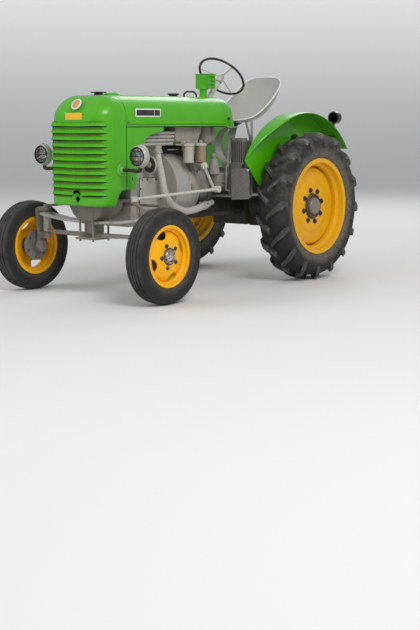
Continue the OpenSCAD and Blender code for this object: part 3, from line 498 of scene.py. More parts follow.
def painted(name, paint, dirt, roughness=0.3, coat=0.0, worn=0.0, wear_colour=(0.1, 0.05, 0.03), runs=0.3,
            dusty=0.3, dust_colour=(0.42, 0.38, 0.31), low=0.6, low_amount=0.3, grain=160.0, relief=0.1):
    """Paint with faded patches, chips, dirt that has run down, dust on top and splashes low down."""
    made, n, shader, place = material(name, roughness, coat=coat)
    faded = n.times(n.shared("patches", place, Scale=3.5, Level=0.52, Softness=0.25), 0.35)
    run = n.times(n.shared("runs", place, Scale=26.0, Level=0.54), runs)
    splash = n.times(n.shared("ground_dirt", place, Height=low, Scale=14.0), low_amount)
    dust = n.times(n.shared("dust", place, Scale=11.0), dusty)
    tone = n.layered(paint, (faded, [c * 0.78 for c in paint]), (run, dirt), (splash, dust_colour),
        (dust, dust_colour))
    if worn:
        chips = n.shared("patches", place, Scale=38.0, Level=0.78 - worn * 0.2, Softness=0.015)
        tone = n.mix(chips, tone, wear_colour)
    n.link(tone, shader.inputs["Base Color"])
    n.link(n.plus(roughness, n.times(n.plus(run, dust), 0.6), clamp=True), shader.inputs["Roughness"])
    grained(n, shader, place, grain, relief)
    return made


def dried_mud(n, place, tone, amount):
    """Thin grey-brown dust in patches, mostly on a tyre's upper half."""
    mask = n.times(n.shared("patches", place, Scale=16.0, Level=0.53, Softness=0.13),
        n.ramp(n.part(place, "Z"), 0.25, 0.95))
    return n.mix(n.times(mask, amount), tone, (0.115, 0.105, 0.085))


def rubber(name, centre, rim, top, grey=0.9):
    """Dusty rubber: grey-green bead, black shoulder and a rubbed tread."""
    made, n, shader, place = material(name, 0.8)
    radius = n.shared("from_axle", place, Centre=at(*centre))
    mottle = n.noise(place, 9.0, 7.0, 0.65)
    bead = n.ramp(n.plus(radius, n.times(n.minus(mottle, 0.5), 0.09)), (rim + 0.12 * (top - rim)) * MM,
        (rim + 0.5 * (top - rim)) * MM, 1.0, 0.0)
    wall = n.times(bead, n.times(n.ramp(n.noise(place, 45.0, 6.0, 0.7), 0.2, 0.6), grey))
    rubbed = n.times(n.ramp(radius, (top - 26) * MM, (top - 3) * MM), n.ramp(mottle, 0.3, 0.62))
    dust = n.times(n.shared("dust", place, Scale=13.0), 0.22)
    tone = n.layered((0.021, 0.0205, 0.019), (wall, (0.150, 0.140, 0.112)),
        (n.times(rubbed, 0.6), (0.085, 0.080, 0.072)), (dust, (0.15, 0.135, 0.11)))
    n.link(dried_mud(n, place, tone, grey * 0.6), shader.inputs["Base Color"])
    grained(n, shader, place, 90.0, 0.35, 0.002)
    return made


def lug_rubber(name, centre):
    """Lugs: grey tops, flanks made black by painted shade and pale edges between them that are painted highlights,
    told apart by which way a face looks.
    """
    made, n, shader, place = material(name, 0.5)
    round_way = n.vector("NORMALIZE", n.vector("CROSS_PRODUCT", n.vector("SUBTRACT", place, at(*centre)), X))
    faces = n.add("ShaderNodeTexCoord").outputs["Normal"]
    side = n.math("ABSOLUTE", n.vector("DOT_PRODUCT", faces, round_way, output="Value"))
    mottle = n.ramp(n.noise(place, 30.0, 6.0, 0.7), 0.3, 0.65)
    edge = n.times(n.times(n.ramp(side, 0.12, 0.3), n.ramp(side, 0.55, 0.75, 1.0, 0.0)), mottle)
    # Painted shade makes the flanks, which face round the tyre, near black; painted highlights, broken by noise,
    # pale the edges.
    tone = n.layered((0.052, 0.050, 0.045), (n.ramp(side, 0.45, 0.8), (0.011, 0.011, 0.010)),
        (edge, (0.17, 0.165, 0.15)))
    n.link(dried_mud(n, place, tone, 0.5), shader.inputs["Base Color"])
    grained(n, shader, place, 70.0, 0.6, 0.003)
    return made


def wheel_paint(name, paint, centre, hub):
    """Yellow paint with grease about the hub, faint stains under the nuts and dust in the rim."""
    made, n, shader, place = material(name, 0.36)
    radius = n.shared("from_axle", place, Centre=at(*centre))
    blotch = n.noise(place, 18.0, 6.0, 0.6)
    faded = n.times(n.shared("patches", place, Scale=5.0, Level=0.52, Softness=0.2), 0.35)
    grease = n.ramp(n.plus(radius, n.times(n.minus(blotch, 0.5), 0.012)), (hub - 3) * MM, (hub + 3) * MM, 0.85,
        0.0)
    stain = n.times(n.ramp(radius, (hub + 4) * MM, (hub + 60) * MM, 1.0, 0.0), n.ramp(blotch, 0.5, 0.72))
    chips = n.shared("patches", place, Scale=48.0, Level=0.735, Softness=0.02)
    dust = n.times(n.shared("dust", place, Scale=12.0), 0.22)
    tone = n.layered(paint, (faded, (paint[0] * 0.86, paint[1] * 0.82, paint[2])),
        (grease, (0.10, 0.055, 0.02)), (n.times(stain, 0.45), (0.36, 0.15, 0.01)), (chips, (0.20, 0.09, 0.03)),
        (dust, (0.45, 0.33, 0.16)))
    n.link(tone, shader.inputs["Base Color"])
    n.link(n.plus(0.34, n.times(n.plus(stain, dust), 0.4), clamp=True), shader.inputs["Roughness"])
    grained(n, shader, place, 140.0, 0.06)
    return made


# Oil streaks on the bell housing: place along Y, lean, width, lowest and highest point.
STREAKS = ((794, -0.18, 13, 800, 935), (789, -0.17, 5, 770, 935), (786, 0.15, 7, 560, 775),
    (868, 0.1, 5, 600, 900))


def bell_paint(name, paint):
    """Grey casting with brown oil that has leaked down from the filters."""
    made = painted(name, paint, (0.16, 0.11, 0.06), 0.5, runs=0.35, dusty=0.25, low=0.9, low_amount=0.2,
        relief=0.25)
    n, shader, tone, place = reopened(made)
    x, y, z = (n.part(place, axis) for axis in "XYZ")
    for along, lean, width, low, high in STREAKS:
        start = at(0, along, 930)
        wobble = n.times(n.minus(n.noise(place, 8.0, 2.0), 0.5), 0.07)
        across = n.math("ABSOLUTE", n.minus(n.minus(n.plus(y, wobble), start.y),
            n.times(n.minus(start.z, z), lean)))
        streak = n.times(n.ramp(across, 0.0, width * MM * 1.5, 1.0, 0.0),
            n.times(n.ramp(z, (low - 15) * MM, (low + 15) * MM), n.ramp(z, (high - 15) * MM, (high + 15) * MM,
            1.0, 0.0)))
        broken = n.times(n.times(streak, n.ramp(x, 0.05, 0.15)), n.ramp(n.noise(place, 30.0, 5.0), 0.3, 0.6))
        tone = n.mix(n.times(broken, 0.9), tone, (0.34, 0.205, 0.085))
    n.link(tone, shader.inputs["Base Color"])
    return made


def louvre_paint(name, paint, low, pitch):
    """Green paint, darker towards the top of each louvre: painted shade under the lip above it."""
    made = painted(name, paint, (0.05, 0.05, 0.02), 0.5, runs=0.25, dusty=0.04, low=0.8, low_amount=0.08,
        relief=0.02)
    n, shader, tone, place = reopened(made)
    # Painted shade: the mask named dirt darkens each louvre towards its top, where the lip above shades it.
    share = n.math("FRACT", n.math("DIVIDE", n.minus(n.part(place, "Z"), low * MM), pitch * MM))
    dirt = n.times(n.ramp(share, 0.25, 0.75), n.ramp(n.noise(place, 12.0, 5.0), 0.2, 0.6, 0.45, 0.75))
    n.link(n.mix(dirt, tone, (0.028, 0.085, 0.010)), shader.inputs["Base Color"])
    return made


def gearbox_paint(name, paint, grease):
    """Grey casting on top that turns near black low down: painted shade under the footboards."""
    made = painted(name, paint, (0.12, 0.09, 0.06), 0.5, worn=0.2, runs=0.6, dusty=0.3, relief=0.3)
    n, shader, tone, place = reopened(made)
    ragged = n.plus(n.part(place, "Z"), n.times(n.minus(n.noise(place, 16.0), 0.5), 0.14))
    # Painted shade: below about 0.7 m the casting takes the near-black colour passed as grease, for the shade
    # under the footboards.
    n.link(n.mix(n.ramp(ragged, 0.66, 0.76, 1.0, 0.0), tone, grease), shader.inputs["Base Color"])
    return made


def crossed_waves(n, waves, low, high):
    """The lines of wave patterns, laid over each other; each wave is (vector, direction, scale)."""
    lines = None
    for vector, direction, scale in waves:
        wave = n.add("ShaderNodeTexWave", {"Vector": vector, "Scale": scale}, bands_direction=direction)
        line = n.ramp(wave.outputs["Fac"], low, high)
        lines = line if lines is None else n.math("MAXIMUM", lines, line)
    return lines


def tread_plate(name, paint):
    """Painted plate with raised crossing ribs."""
    made = painted(name, paint, (0.14, 0.09, 0.05), 0.5, worn=0.6, wear_colour=(0.2, 0.1, 0.05), runs=0.5,
        dusty=0.7, dust_colour=(0.36, 0.25, 0.175))
    n, shader, tone, place = reopened(made)
    ways = [n.add("ShaderNodeMapping", {"Vector": place, "Rotation": (0.0, angle, 0.0)}).outputs[0]
        for angle in (0.95, -0.95)]
    ribs = crossed_waves(n, [(way, "X", 10.0) for way in ways], 0.72, 0.95)
    n.link(n.layered(tone, (0.25, (0.1, 0.09, 0.08)), (n.times(ribs, 0.55), paint)), shader.inputs["Base Color"])
    bump = n.add("ShaderNodeBump", {"Strength": 0.8, "Distance": 0.003, "Height": ribs})
    n.link(bump.outputs[0], shader.inputs["Normal"])
    return made


def bare_metal(name, tone, roughness=0.35, rust=0.4):
    """Bare steel with rust patches."""
    made, n, shader, place = material(name, roughness, metallic=0.9)
    mask = n.shared("patches", place, Scale=60.0, Level=0.62 - 0.2 * rust, Softness=0.08)
    n.link(n.mix(mask, tone, (0.12, 0.05, 0.025)), shader.inputs["Base Color"])
    n.link(n.plus(roughness, n.times(mask, 0.45), clamp=True), shader.inputs["Roughness"])
    return made


def lens_glass(name):
    """Pressed lamp glass: upright flutes crossed by wider bars."""
    made, n, shader, place = material(name, 0.03, coat=0.6, transmission=1.0, ior=1.12)
    lines = crossed_waves(n, [(place, "X", 15.0), (place, "Z", 9.0)], 0.7, 0.97)
    n.link(n.mix(lines, (0.94, 0.95, 0.94), (0.32, 0.33, 0.31)), shader.inputs["Base Color"])
    return made


def smooth_gloss(name, tone, roughness=0.3, coat=0.3, speck=0.15):
    """Plain gloss lacquer with a few dull patches."""
    made, n, shader, place = material(name, roughness, coat=coat)
    mask = n.shared("patches", place, Scale=14.0, Level=0.56, Softness=0.12)
    n.link(n.mix(n.times(mask, speck), tone, (0.3, 0.27, 0.23)), shader.inputs["Base Color"])
    n.link(n.plus(roughness, n.times(mask, 0.25)), shader.inputs["Roughness"])
    return made


LOOKS = {}
# Heights of the lowest and the highest louvre's lower edge.
LOUVRE_LOW, LOUVRE_TOP = 748, 1234


# Settings

class TractorSizes(bpy.types.PropertyGroup):
    louvre_count: IntProperty(name="Louvres", description="Louvres across the nose", default=11, min=6, max=12)
    louvre_out: FloatProperty(name="Louvre lip", description="How far a louvre's lip stands out", default=0.012,
        min=0.006, max=0.013, unit="LENGTH")
    lug_count: IntProperty(name="Lugs", description="Lugs on each side of a rear tyre", default=16, min=14, max=18)
    lug_wear: FloatProperty(name="Lug wear", description="How unevenly the lugs' edges are worn",
        default=0.0035, min=0.0, max=0.006, unit="LENGTH")
    seat_rim: FloatProperty(name="Seat rim", description="Radius of the seat's rolled rim", default=0.007,
        min=0.003, max=0.01, unit="LENGTH")
    camera_lens: FloatProperty(name="Lens", description="Focal length of the camera", default=68.84, unit="CAMERA")


PAINT = {"subtype": "COLOR", "size": 3, "min": 0, "max": 1}


class TractorColours(bpy.types.PropertyGroup):
    green: FloatVectorProperty(name="Sheet metal", description="Paint of bonnet, nose and fenders",
        default=(0.078, 0.432, 0.002), **PAINT)
    yellow: FloatVectorProperty(name="Wheels", description="Paint of the wheels",
        default=(0.880, 0.425, 0.003), **PAINT)
    grey: FloatVectorProperty(name="Castings", description="Paint of engine and axle",
        default=(0.420, 0.400, 0.365), **PAINT)
    # Near black: grease, and painted shade on the gearbox's underside and the rear axle under the footboards.
    dark: FloatVectorProperty(name="Gearbox", description="Greasy casting of gearbox and rear axle",
        default=(0.026, 0.024, 0.021), **PAINT)
    seat: FloatVectorProperty(name="Seat", description="Paint of the seat",
        default=(0.440, 0.430, 0.400), **PAINT)
    backdrop: FloatVectorProperty(name="Floor", description="Colour of floor and backdrop",
        default=(0.80, 0.79, 0.775), **PAINT)


class PieceOperator(bpy.types.Operator):
    """What the operators share: their settings."""
    bl_options = {"REGISTER", "UNDO"}

    def sizes(self, context):
        return context.scene.tractor_sizes

    def colours(self, context):
        return context.scene.tractor_colours


class TRACTOR_OT_finishes(PieceOperator):
    """Make the materials"""
    bl_idname = "tractor.finishes"
    bl_label = "Finishes"

    def execute(self, context):
        c = self.colours(context)
        for make in (patches_effect, runs_effect, dust_effect, ground_effect, relief_effect, axle_effect):
            make()
        LOOKS.update(
            green=painted("green_paint", c.green, (0.06, 0.09, 0.03), 0.34, coat=0.25, runs=0.10, dusty=0.06,
                low=0.8, low_amount=0.08, relief=0.02),
            louvre=louvre_paint("louvre_paint", c.green, LOUVRE_LOW + 4,
                (LOUVRE_TOP - LOUVRE_LOW) / (self.sizes(context).louvre_count - 1)),
            shade=painted("louvre_shade", (0.085, 0.175, 0.022), (0.10, 0.06, 0.015), 0.8, runs=0.7, dusty=0.0),
            # Lamp bosses: a paler green than the sheet metal, a painted sheen.
            boss=painted("boss_sheen_paint", (0.16, 0.52, 0.085), (0.06, 0.09, 0.03), 0.3, coat=0.3, runs=0.1,
                dusty=0.1),
            link=painted("link_paint", scaled(c.grey, 1.5), (0.22, 0.15, 0.09), 0.42, worn=0.15, runs=0.3,
                dusty=0.2, relief=0.15),
            hub=painted("hub_casting", (0.070, 0.055, 0.048), (0.04, 0.03, 0.025), 0.42, worn=0.5,
                wear_colour=(0.15, 0.14, 0.13), runs=0.4, relief=0.3),
            nut=painted("rusty_nuts", (0.035, 0.025, 0.02), (0.08, 0.035, 0.015), 0.5, runs=0.5, dusty=0.25,
                relief=0.4),
            gearbox=gearbox_paint("gearbox_paint", scaled(c.grey, 0.72), c.dark),
            tank=painted("tank_paint", scaled(c.grey, 0.80, 0.75, 0.70), (0.16, 0.11, 0.08), 0.5, worn=0.3,
                runs=0.5, dusty=0.2, relief=0.2),
            bowl_light=smooth_gloss("light_bowl", (0.47, 0.44, 0.39), 0.42, 0.1, 0.25),
            grey=painted("casting_paint", c.grey, (0.15, 0.11, 0.07), 0.5, worn=0.35, runs=0.4, dusty=0.25,
                low=0.75, low_amount=0.35, relief=0.25),
            bell=bell_paint("bell_paint", c.grey),
            axle=painted("front_axle_paint", scaled(c.grey, 0.50, 0.46, 0.42), (0.10, 0.06, 0.04), 0.55,
                worn=0.45, wear_colour=(0.13, 0.07, 0.04), runs=0.45, dusty=0.3, low=0.8, low_amount=0.3,
                relief=0.3),
            # Near-black casting with grease; it is also painted shade on the rear axle and the engine-bay shade
            # block.
            dark=painted("dark_casting_and_shade", c.dark, (0.03, 0.025, 0.02), 0.55, runs=0.5, dusty=0.45,
                dust_colour=(0.085, 0.072, 0.055), low=0.9, low_amount=0.35, relief=0.4),
            strap=painted("strap_paint", scaled(c.grey, 0.62), (0.12, 0.07, 0.04), 0.5, worn=0.7, runs=0.5,
                relief=0.2),
            pipe=painted("pipe_paint", scaled(c.grey, 1.22), (0.20, 0.14, 0.09), 0.4, worn=0.25, runs=0.25,
                dusty=0.2, low=0.7, low_amount=0.2, relief=0.15),
            manifold=painted("manifold_paint", c.grey, (0.16, 0.11, 0.07), 0.42, worn=0.2, runs=0.35, dusty=0.3,
                relief=0.2),
            seat=painted("seat_paint", c.seat, (0.30, 0.28, 0.25), 0.38, coat=0.15, worn=0.1, wear_colour=(0.25,
                0.2, 0.17), runs=0.15, dusty=0.18, relief=0.05),
            # Seat rim: near white, a painted highlight along the rolled rim.
            rim=painted("seat_rim_highlight_paint", (0.80, 0.80, 0.78), (0.4, 0.36, 0.3), 0.4, worn=0.3, runs=0.1,
                wear_colour=(0.3, 0.25, 0.2)),
            plate=tread_plate("tread_plate", scaled(c.grey, 0.62)),
            wheel_front=wheel_paint("front_wheel_paint", (min(c.yellow[0] * 1.12, 1), c.yellow[1] * 1.12, 0.001),
                FRONT_HUB, 62),
            wheel_rear=wheel_paint("rear_wheel_paint", scaled(c.yellow, 0.94, 0.98, 1.0), REAR_HUB, 104),
            tyre_front=rubber("front_rubber", FRONT_HUB, 220, 340, 0.3),
            tyre_rear=rubber("rear_rubber", REAR_HUB, 385, 594),
            lug=lug_rubber("lug_rubber", REAR_HUB),
            cream=painted("cream_paint", (0.60, 0.565, 0.49), (0.30, 0.22, 0.14), 0.42, worn=0.2,
                wear_colour=(0.25, 0.18, 0.12), runs=0.25, dusty=0.1, relief=0.1),
            drum=painted("brake_drum", scaled(c.grey, 0.42), (0.08, 0.05, 0.03), 0.55, worn=0.5,
                wear_colour=(0.1, 0.05, 0.03), runs=0.4, relief=0.3),
            dynamo=painted("dynamo_shell", (0.055, 0.043, 0.036), (0.10, 0.06, 0.04), 0.45, runs=0.4, relief=0.2),
            lamp=painted("lamp_paint", (0.42, 0.42, 0.385), (0.15, 0.12, 0.08), 0.32, coat=0.2, worn=0.5,
                wear_colour=(0.16, 0.10, 0.06), runs=0.45, dusty=0.1),
            cap=painted("hub_cap", (0.20, 0.18, 0.17), (0.05, 0.035, 0.03), 0.28, coat=0.5, worn=0.5,
                wear_colour=(0.07, 0.05, 0.04), runs=0.6, dusty=0.0, relief=0.4, grain=60.0),
            bright_cap=bare_metal("bright_cap", (0.58, 0.56, 0.53), 0.2, 0.45),
            mirror=bare_metal("lamp_reflector", (0.42, 0.41, 0.39), 0.3, -0.9),
            steel=bare_metal("bare_steel", (0.42, 0.40, 0.38), 0.38, 0.35),
            rust=bare_metal("rusty_steel", (0.20, 0.15, 0.12), 0.55, 1.0),
            lens=lens_glass("lamp_glass"),
            bowl=painted("filter_bowl", (0.34, 0.25, 0.145), (0.16, 0.10, 0.05), 0.4, coat=0.1, runs=0.5,
                dusty=0.1, low=0.1),
            black=smooth_gloss("black_lacquer", (0.014, 0.014, 0.014), 0.28, 0.3, 0.1),
            slot=smooth_gloss("dark_gap", (0.006, 0.007, 0.006), 0.8, 0.0, 0.05),
            plate_yellow=smooth_gloss("yellow_plate", (0.85, 0.48, 0.02), 0.3, 0.3, 0.1),
            plate_white=smooth_gloss("white_plate", (0.80, 0.80, 0.78), 0.3, 0.3, 0.1),
            badge=smooth_gloss("badge_enamel", (0.70, 0.30, 0.10), 0.2, 0.6, 0.2),
            red_lens=smooth_gloss("red_lens", (0.28, 0.008, 0.006), 0.12, 0.8, 0.05))
        for look, level in (("slot", 0.05), ("shade", 0.2), ("louvre", 0.35), ("wheel_front", 0.35),
                ("wheel_rear", 0.35)):
            LOOKS[look].node_tree.nodes["Principled BSDF"].inputs["Specular IOR Level"].default_value = level
        return {"FINISHED"}


# Frame nodes that keep their shape: the look of each, its softened edge and how far a thin rod swells.
NODE_LOOKS = {"knuckle_left": "axle", "knuckle_right": "axle", "tie_rod": "axle", "drop_arm": "link",
    "drag_link": "link", "front_support": "axle", "leaf_spring": "axle", "upper_arms": "grey",
    "engine_block": "grey", "steering_gear": "drum", "gearbox": "gearbox", "rear_axle": "dark",
    "fuel_system": "tank", "air_cleaner": "tank", "radiator": "dark", "side_panels": "green",
    "intake_stack": "green", "dash_hoop": "grey", "seat_bracket": "strap", "rear_lamps": "black",
    "footboards": "plate", "battery_box": "drum", "levers": "strap", "hitch": "dark",
    "bonnet_fittings": "black"}
EDGES = {"engine_block": 3.0, "gearbox": 3.5, "rear_axle": 3.0, "front_support": 2.0, "exhaust_manifold": 1.5,
    "steering_gear": 2.0, "battery_box": 2.5, "intake_stack": 2.0, "fuel_system": 1.5, "radiator": 2.0,
    "seat_bracket": 1.0, "knuckle_left": 1.5, "knuckle_right": 1.5, "upper_arms": 1.5}
SWELLS = {"drag_link": 4.2, "drop_arm": 1.6}


class TRACTOR_OT_castings(PieceOperator):
    """Smooth, soft-edged copies of the frame's castings and rods"""
    bl_idname = "tractor.castings"
    bl_label = "Castings and wheels"

    def execute(self, context):
        for node, look in NODE_LOOKS.items():
            piece = softened(node, look, EDGES.get(node, 0.0))
            if node == "engine_block":  # the end of its dynamo is a piece of its own, further in
                cut_away(piece, block("dynamo_cutter", (176, 348, 886), (330, 440, 1030), 0.1))
            if node in SWELLS:
                modified(piece, "DISPLACE", strength=SWELLS[node] * MM, mid_level=0.0)
        return {"FINISHED"}


class TRACTOR_OT_bell(PieceOperator):
    """The round bell housing behind the engine"""
    bl_idname = "tractor.bell"
    bl_label = "Bell housing"

    def execute(self, context):
        profile = [(0, 605), (120, 605), (285, 605), (289, 608), (289, 646), (286, 651), (283, 655),
            (282.3, 680), (281, 715), (279, 750), (275.5, 785), (270, 820), (263, 850), (255, 880),
            (245.5, 910), (236, 935), (229, 949), (220, 955), (190, 960), (186, 980), (179, 1000), (0, 1000)]
        bell = turned("bell_housing", profile, (0, 0, 769), Y, 128)
        finished(bell, "bell", ["bell_housing"], 35)
        return {"FINISHED"}


# Sheet metal

SHOULDER_X, SHOULDER_R, SHOULDER_Z = 125, 155, 1305
HALF_W, LOW_Z = 280, 1232
NOSE_Y, SEAM_FRONT, SEAM_REAR, DOME_END = -198, 53, 1200, 1400
# Steps in a rounded end: round a corner, across half its front, and in each half of its height.
CORNER_STEPS, FRONT_STEPS, LEVELS = 12, 8, 14


def end_row(z, y_seam, y_end, low_corner, side_steps=6):
    """One level of a rounded end, from the left seam round its front to the right seam."""
    way = 1 if y_end > y_seam else -1
    if z <= SHOULDER_Z:
        blend = max(0.0, (z - (SHOULDER_Z - 125)) / 125)
        blend = blend * blend * (3 - 2 * blend)
        half, reach = HALF_W, abs(y_end - y_seam)
        corner = low_corner + (SHOULDER_R - low_corner) * blend
    else:
        inset = SHOULDER_R * (1 - math.sqrt(max(0.0, 1 - ((z - SHOULDER_Z) / SHOULDER_R) ** 2)))
        half, reach, corner = HALF_W - inset, abs(y_end - y_seam) - inset, SHOULDER_R - inset
    straight = reach - corner
    points = [(half, y_seam + way * straight * i / side_steps) for i in range(side_steps)]
    middle = (half - corner, y_seam + way * straight)
    points += [(middle[0] + corner * math.cos(a), middle[1] + way * corner * math.sin(a))
        for a in (math.pi / 2 * i / CORNER_STEPS for i in range(CORNER_STEPS))]
    points += [((half - corner) * (1 - i / FRONT_STEPS), y_seam + way * reach) for i in range(FRONT_STEPS + 1)]
    return points + [(-x, y) for x, y in reversed(points[:-1])]


def fall(y, z):
    """How far the top of the nose falls towards its front."""
    along = min(1.0, max(0.0, (SEAM_FRONT - y) / (SEAM_FRONT - NOSE_Y)))
    up = min(1.0, max(0.0, (z - 1262) / 198))
    return 62 * along ** 2.5 * up * up * (3 - 2 * up)


def rounded_end(name, y_seam, y_end, low_z, low_corner, notch=None):
    """A closed end of the bonnet: upright walls, spherical shoulders and a flat top."""
    levels = [low_z + (SHOULDER_Z - low_z) * i / LEVELS for i in range(LEVELS + 1)]
    levels += [SHOULDER_Z + SHOULDER_R * math.sin(math.pi / 2 * i / LEVELS) for i in range(1, LEVELS + 1)]
    rows = []
    for inset, drop in ((22, 17), (12, 16), (5, 11), (1.5, 5)) if notch else ():
        row = end_row(low_z, y_seam, y_end, low_corner, side_steps=16)
        rows.append([at(x * (1 - inset / HALF_W), y + inset * max(0.0, (SEAM_FRONT - y) / 251) ** 2,
            notch(y) - drop) for x, y in row])
    for z in levels:
        row = end_row(z, y_seam, y_end, low_corner, side_steps=16 if notch else 6)
        if notch:
            share = (z - low_z) / (SHOULDER_Z - low_z)
            row = [(x, y, notch(y) + (SHOULDER_Z - notch(y)) * share if z < SHOULDER_Z else z - fall(y, z))
                for x, y in row]
        else:
            row = [(x, y, z) for x, y in row]
        rows.append([at(*point) for point in row])
    top = rows[-1]
    for share in (0.3, 0.65, 1.0):
        rows.append([Vector((p.x * (1 - share), p.y, p.z)) for p in top])
    return lofted(name, rows)


def nose_notch(y):
    """Height of the nose's lower edge, which steps up behind the front axle."""
    return between([(-60, 690), (-56, 692), (-44, 722), (-30, 754), (-12, 780), (14, 795), (40, 800),
        (400, 800)], y)


def sheet_metal(piece, thickness=4.0):
    """Gives a sheet its wall, inwards."""
    modified(piece, "SOLIDIFY", thickness=thickness * MM, offset=-1.0)
    return piece


def louvre_path(steps=30, sweep=66):
    """Points, outward directions and shares along a louvre: round both corners and across the front."""
    corner, middle = 120, (160, NOSE_Y + 120)
    path = []
    for i in range(steps + 1):
        a = math.radians(sweep) * (1 - i / steps)
        path.append((middle[0] + corner * math.sin(a), middle[1] - corner * math.cos(a), math.sin(a),
            -math.cos(a)))
    path += [(middle[0] * (1 - i / 6), NOSE_Y, 0.0, -1.0) for i in range(1, 7)]
    return path + [(-x, y, -nx, ny) for x, y, nx, ny in reversed(path[:-1])]


class TRACTOR_OT_nose(PieceOperator):
    """The nose with its louvres, badge, plate and crank hole"""
    bl_idname = "tractor.nose"
    bl_label = "Nose"

    def execute(self, context):
        sizes = self.sizes(context)
        shell = rounded_end("nose_shell", SEAM_FRONT - 2.5, NOSE_Y, 690, 120, nose_notch)
        finished(sheet_metal(shell), "green", ["nose"])
        path = louvre_path()
        lengths = [0.0]
        for a, b in zip(path, path[1:]):
            lengths.append(lengths[-1] + math.dist(a[:2], b[:2]))
        lip, height = sizes.louvre_out / MM, 34
        low = LOUVRE_LOW
        pitch = (LOUVRE_TOP - low) / (sizes.louvre_count - 1)
        section = [(-2.0, 1.0), (-2.0, 0.90), (0.12, 0.86), (0.45, 0.55), (0.86, 0.22), (1.0, 0.10),
            (1.0, 0.03), (0.92, 0.0), (0.80, 0.03), (0.2, 0.2)]
        rows, lip_shadow_rows, shade_rows = [], [], []
        for (x, y, nx, ny), along in zip(path, lengths):
            end = min(along, lengths[-1] - along)
            grow = min(1.0, end / 52)
            grow = math.sin(grow * math.pi / 2) ** 0.8 if grow > 0 else 0.0
            row = []
            for out, up in section:
                reach = out if out < 0 else 0.6 + (out * lip - 0.6) * grow
                row.append(at(x + nx * reach, y + ny * reach,
                    low + 4 + 1.6 * math.sin(along / 57) + up * height * (0.25 + 0.75 * grow)))
            rows.append(row)
            # Painted shadow under each lip: a dark strip, and below it a brown-green strip of painted shade.
            if end > 6:
                thin = min(1.0, end / 60)
                lip_shadow_rows.append([at(x + nx * 0.9, y + ny * 0.9, low + 5 + dz * thin) for dz in (3, 0, -3, -6.5)])
                shade_rows.append([at(x + nx * 0.6, y + ny * 0.6, low + 4 + dz * thin)
                    for dz in (-4, -8, -13, -17)])
        first = (lofted("nose_louvres", rows, closed=True, caps=True), lofted("louvre_lip_shadows", lip_shadow_rows),
            lofted("louvre_shades", shade_rows))
        shifts = [Matrix.Translation(Z * pitch * i * MM) for i in range(1, sizes.louvre_count)]
        for piece, look, slot, smooth in zip(first, ("louvre", "slot", "shade"),
                ("green_paint", "black", "green_paint"), (50, 38, 38)):
            every = joined(piece.name, [piece] + [copied(piece, shift) for shift in shifts])
            finished(every, look, smooth=smooth)
        tilt = Matrix.Translation(at(17, -178, 1392)) @ Matrix.Rotation(math.radians(57), 4, "X")
        for name, profile, look in (("badge_rim", [(0, -4), (43, -4), (43, 3), (40, 6), (36, 6), (35, 4),
                (0, 4)], "plate_white"), ("badge_dome", [(0, 3), (35.5, 3), (34, 5), (27, 7.5), (15, 9),
                (0, 9.5)], "badge")):
            badge = turned(name, profile, (0, 0, 0), Z, 48)
            finished(placed(badge, tilt), look)
        name_plate = block("nose_plate", (-74, NOSE_Y - 3.5, 1284), (88, NOSE_Y + 2, 1332), 1.2)
        finished(name_plate, "plate_yellow")
        ring = turned("crank_hole_ring", [(0, -3), (50, -3), (50, 0), (47, 2), (0, 2)], (28, NOSE_Y, 731), -Y, 36)
        finished(ring, "green")
        hole = [(36 + 25, 0), (36, 27), (36 - 25, 0), (36, -27)]
        diamond = plate("crank_hole", [(x, NOSE_Y - 2.2, 724 + z) for x, z in hole], (0, -0.8, 0))
        arch = []
        for wide, high, turns in ((37, 31, [i / 16 for i in range(17)]),
                (21, 13, [1 - i / 12 for i in range(13)])):
            arch += [(34 + wide * math.cos(math.pi * t), 757 + high * math.sin(math.pi * t)) for t in turns]
        upper = plate("crank_hole_upper", [(x, NOSE_Y - 14, z) for x, z in arch], (0, -0.8, 0))
        finished(joined("crank_hole", [diamond, upper]), "slot")
        return {"FINISHED"}


def bonnet_row(inset=0.0, low=LOW_Z):
    """The bonnet's outline from its left lower edge over the top to the right."""
    half, radius = HALF_W - inset, SHOULDER_R - inset
    points = [(half, low + (SHOULDER_Z - low) * i / 3) for i in range(3)]
    points += [(SHOULDER_X + radius * math.cos(a), SHOULDER_Z + radius * math.sin(a))
        for a in (math.pi / 2 * i / 16 for i in range(17))]
    points += [(SHOULDER_X * (1 - i / 4), SHOULDER_Z + radius) for i in range(1, 5)]
    return points + [(-x, z) for x, z in reversed(points[:-1])]


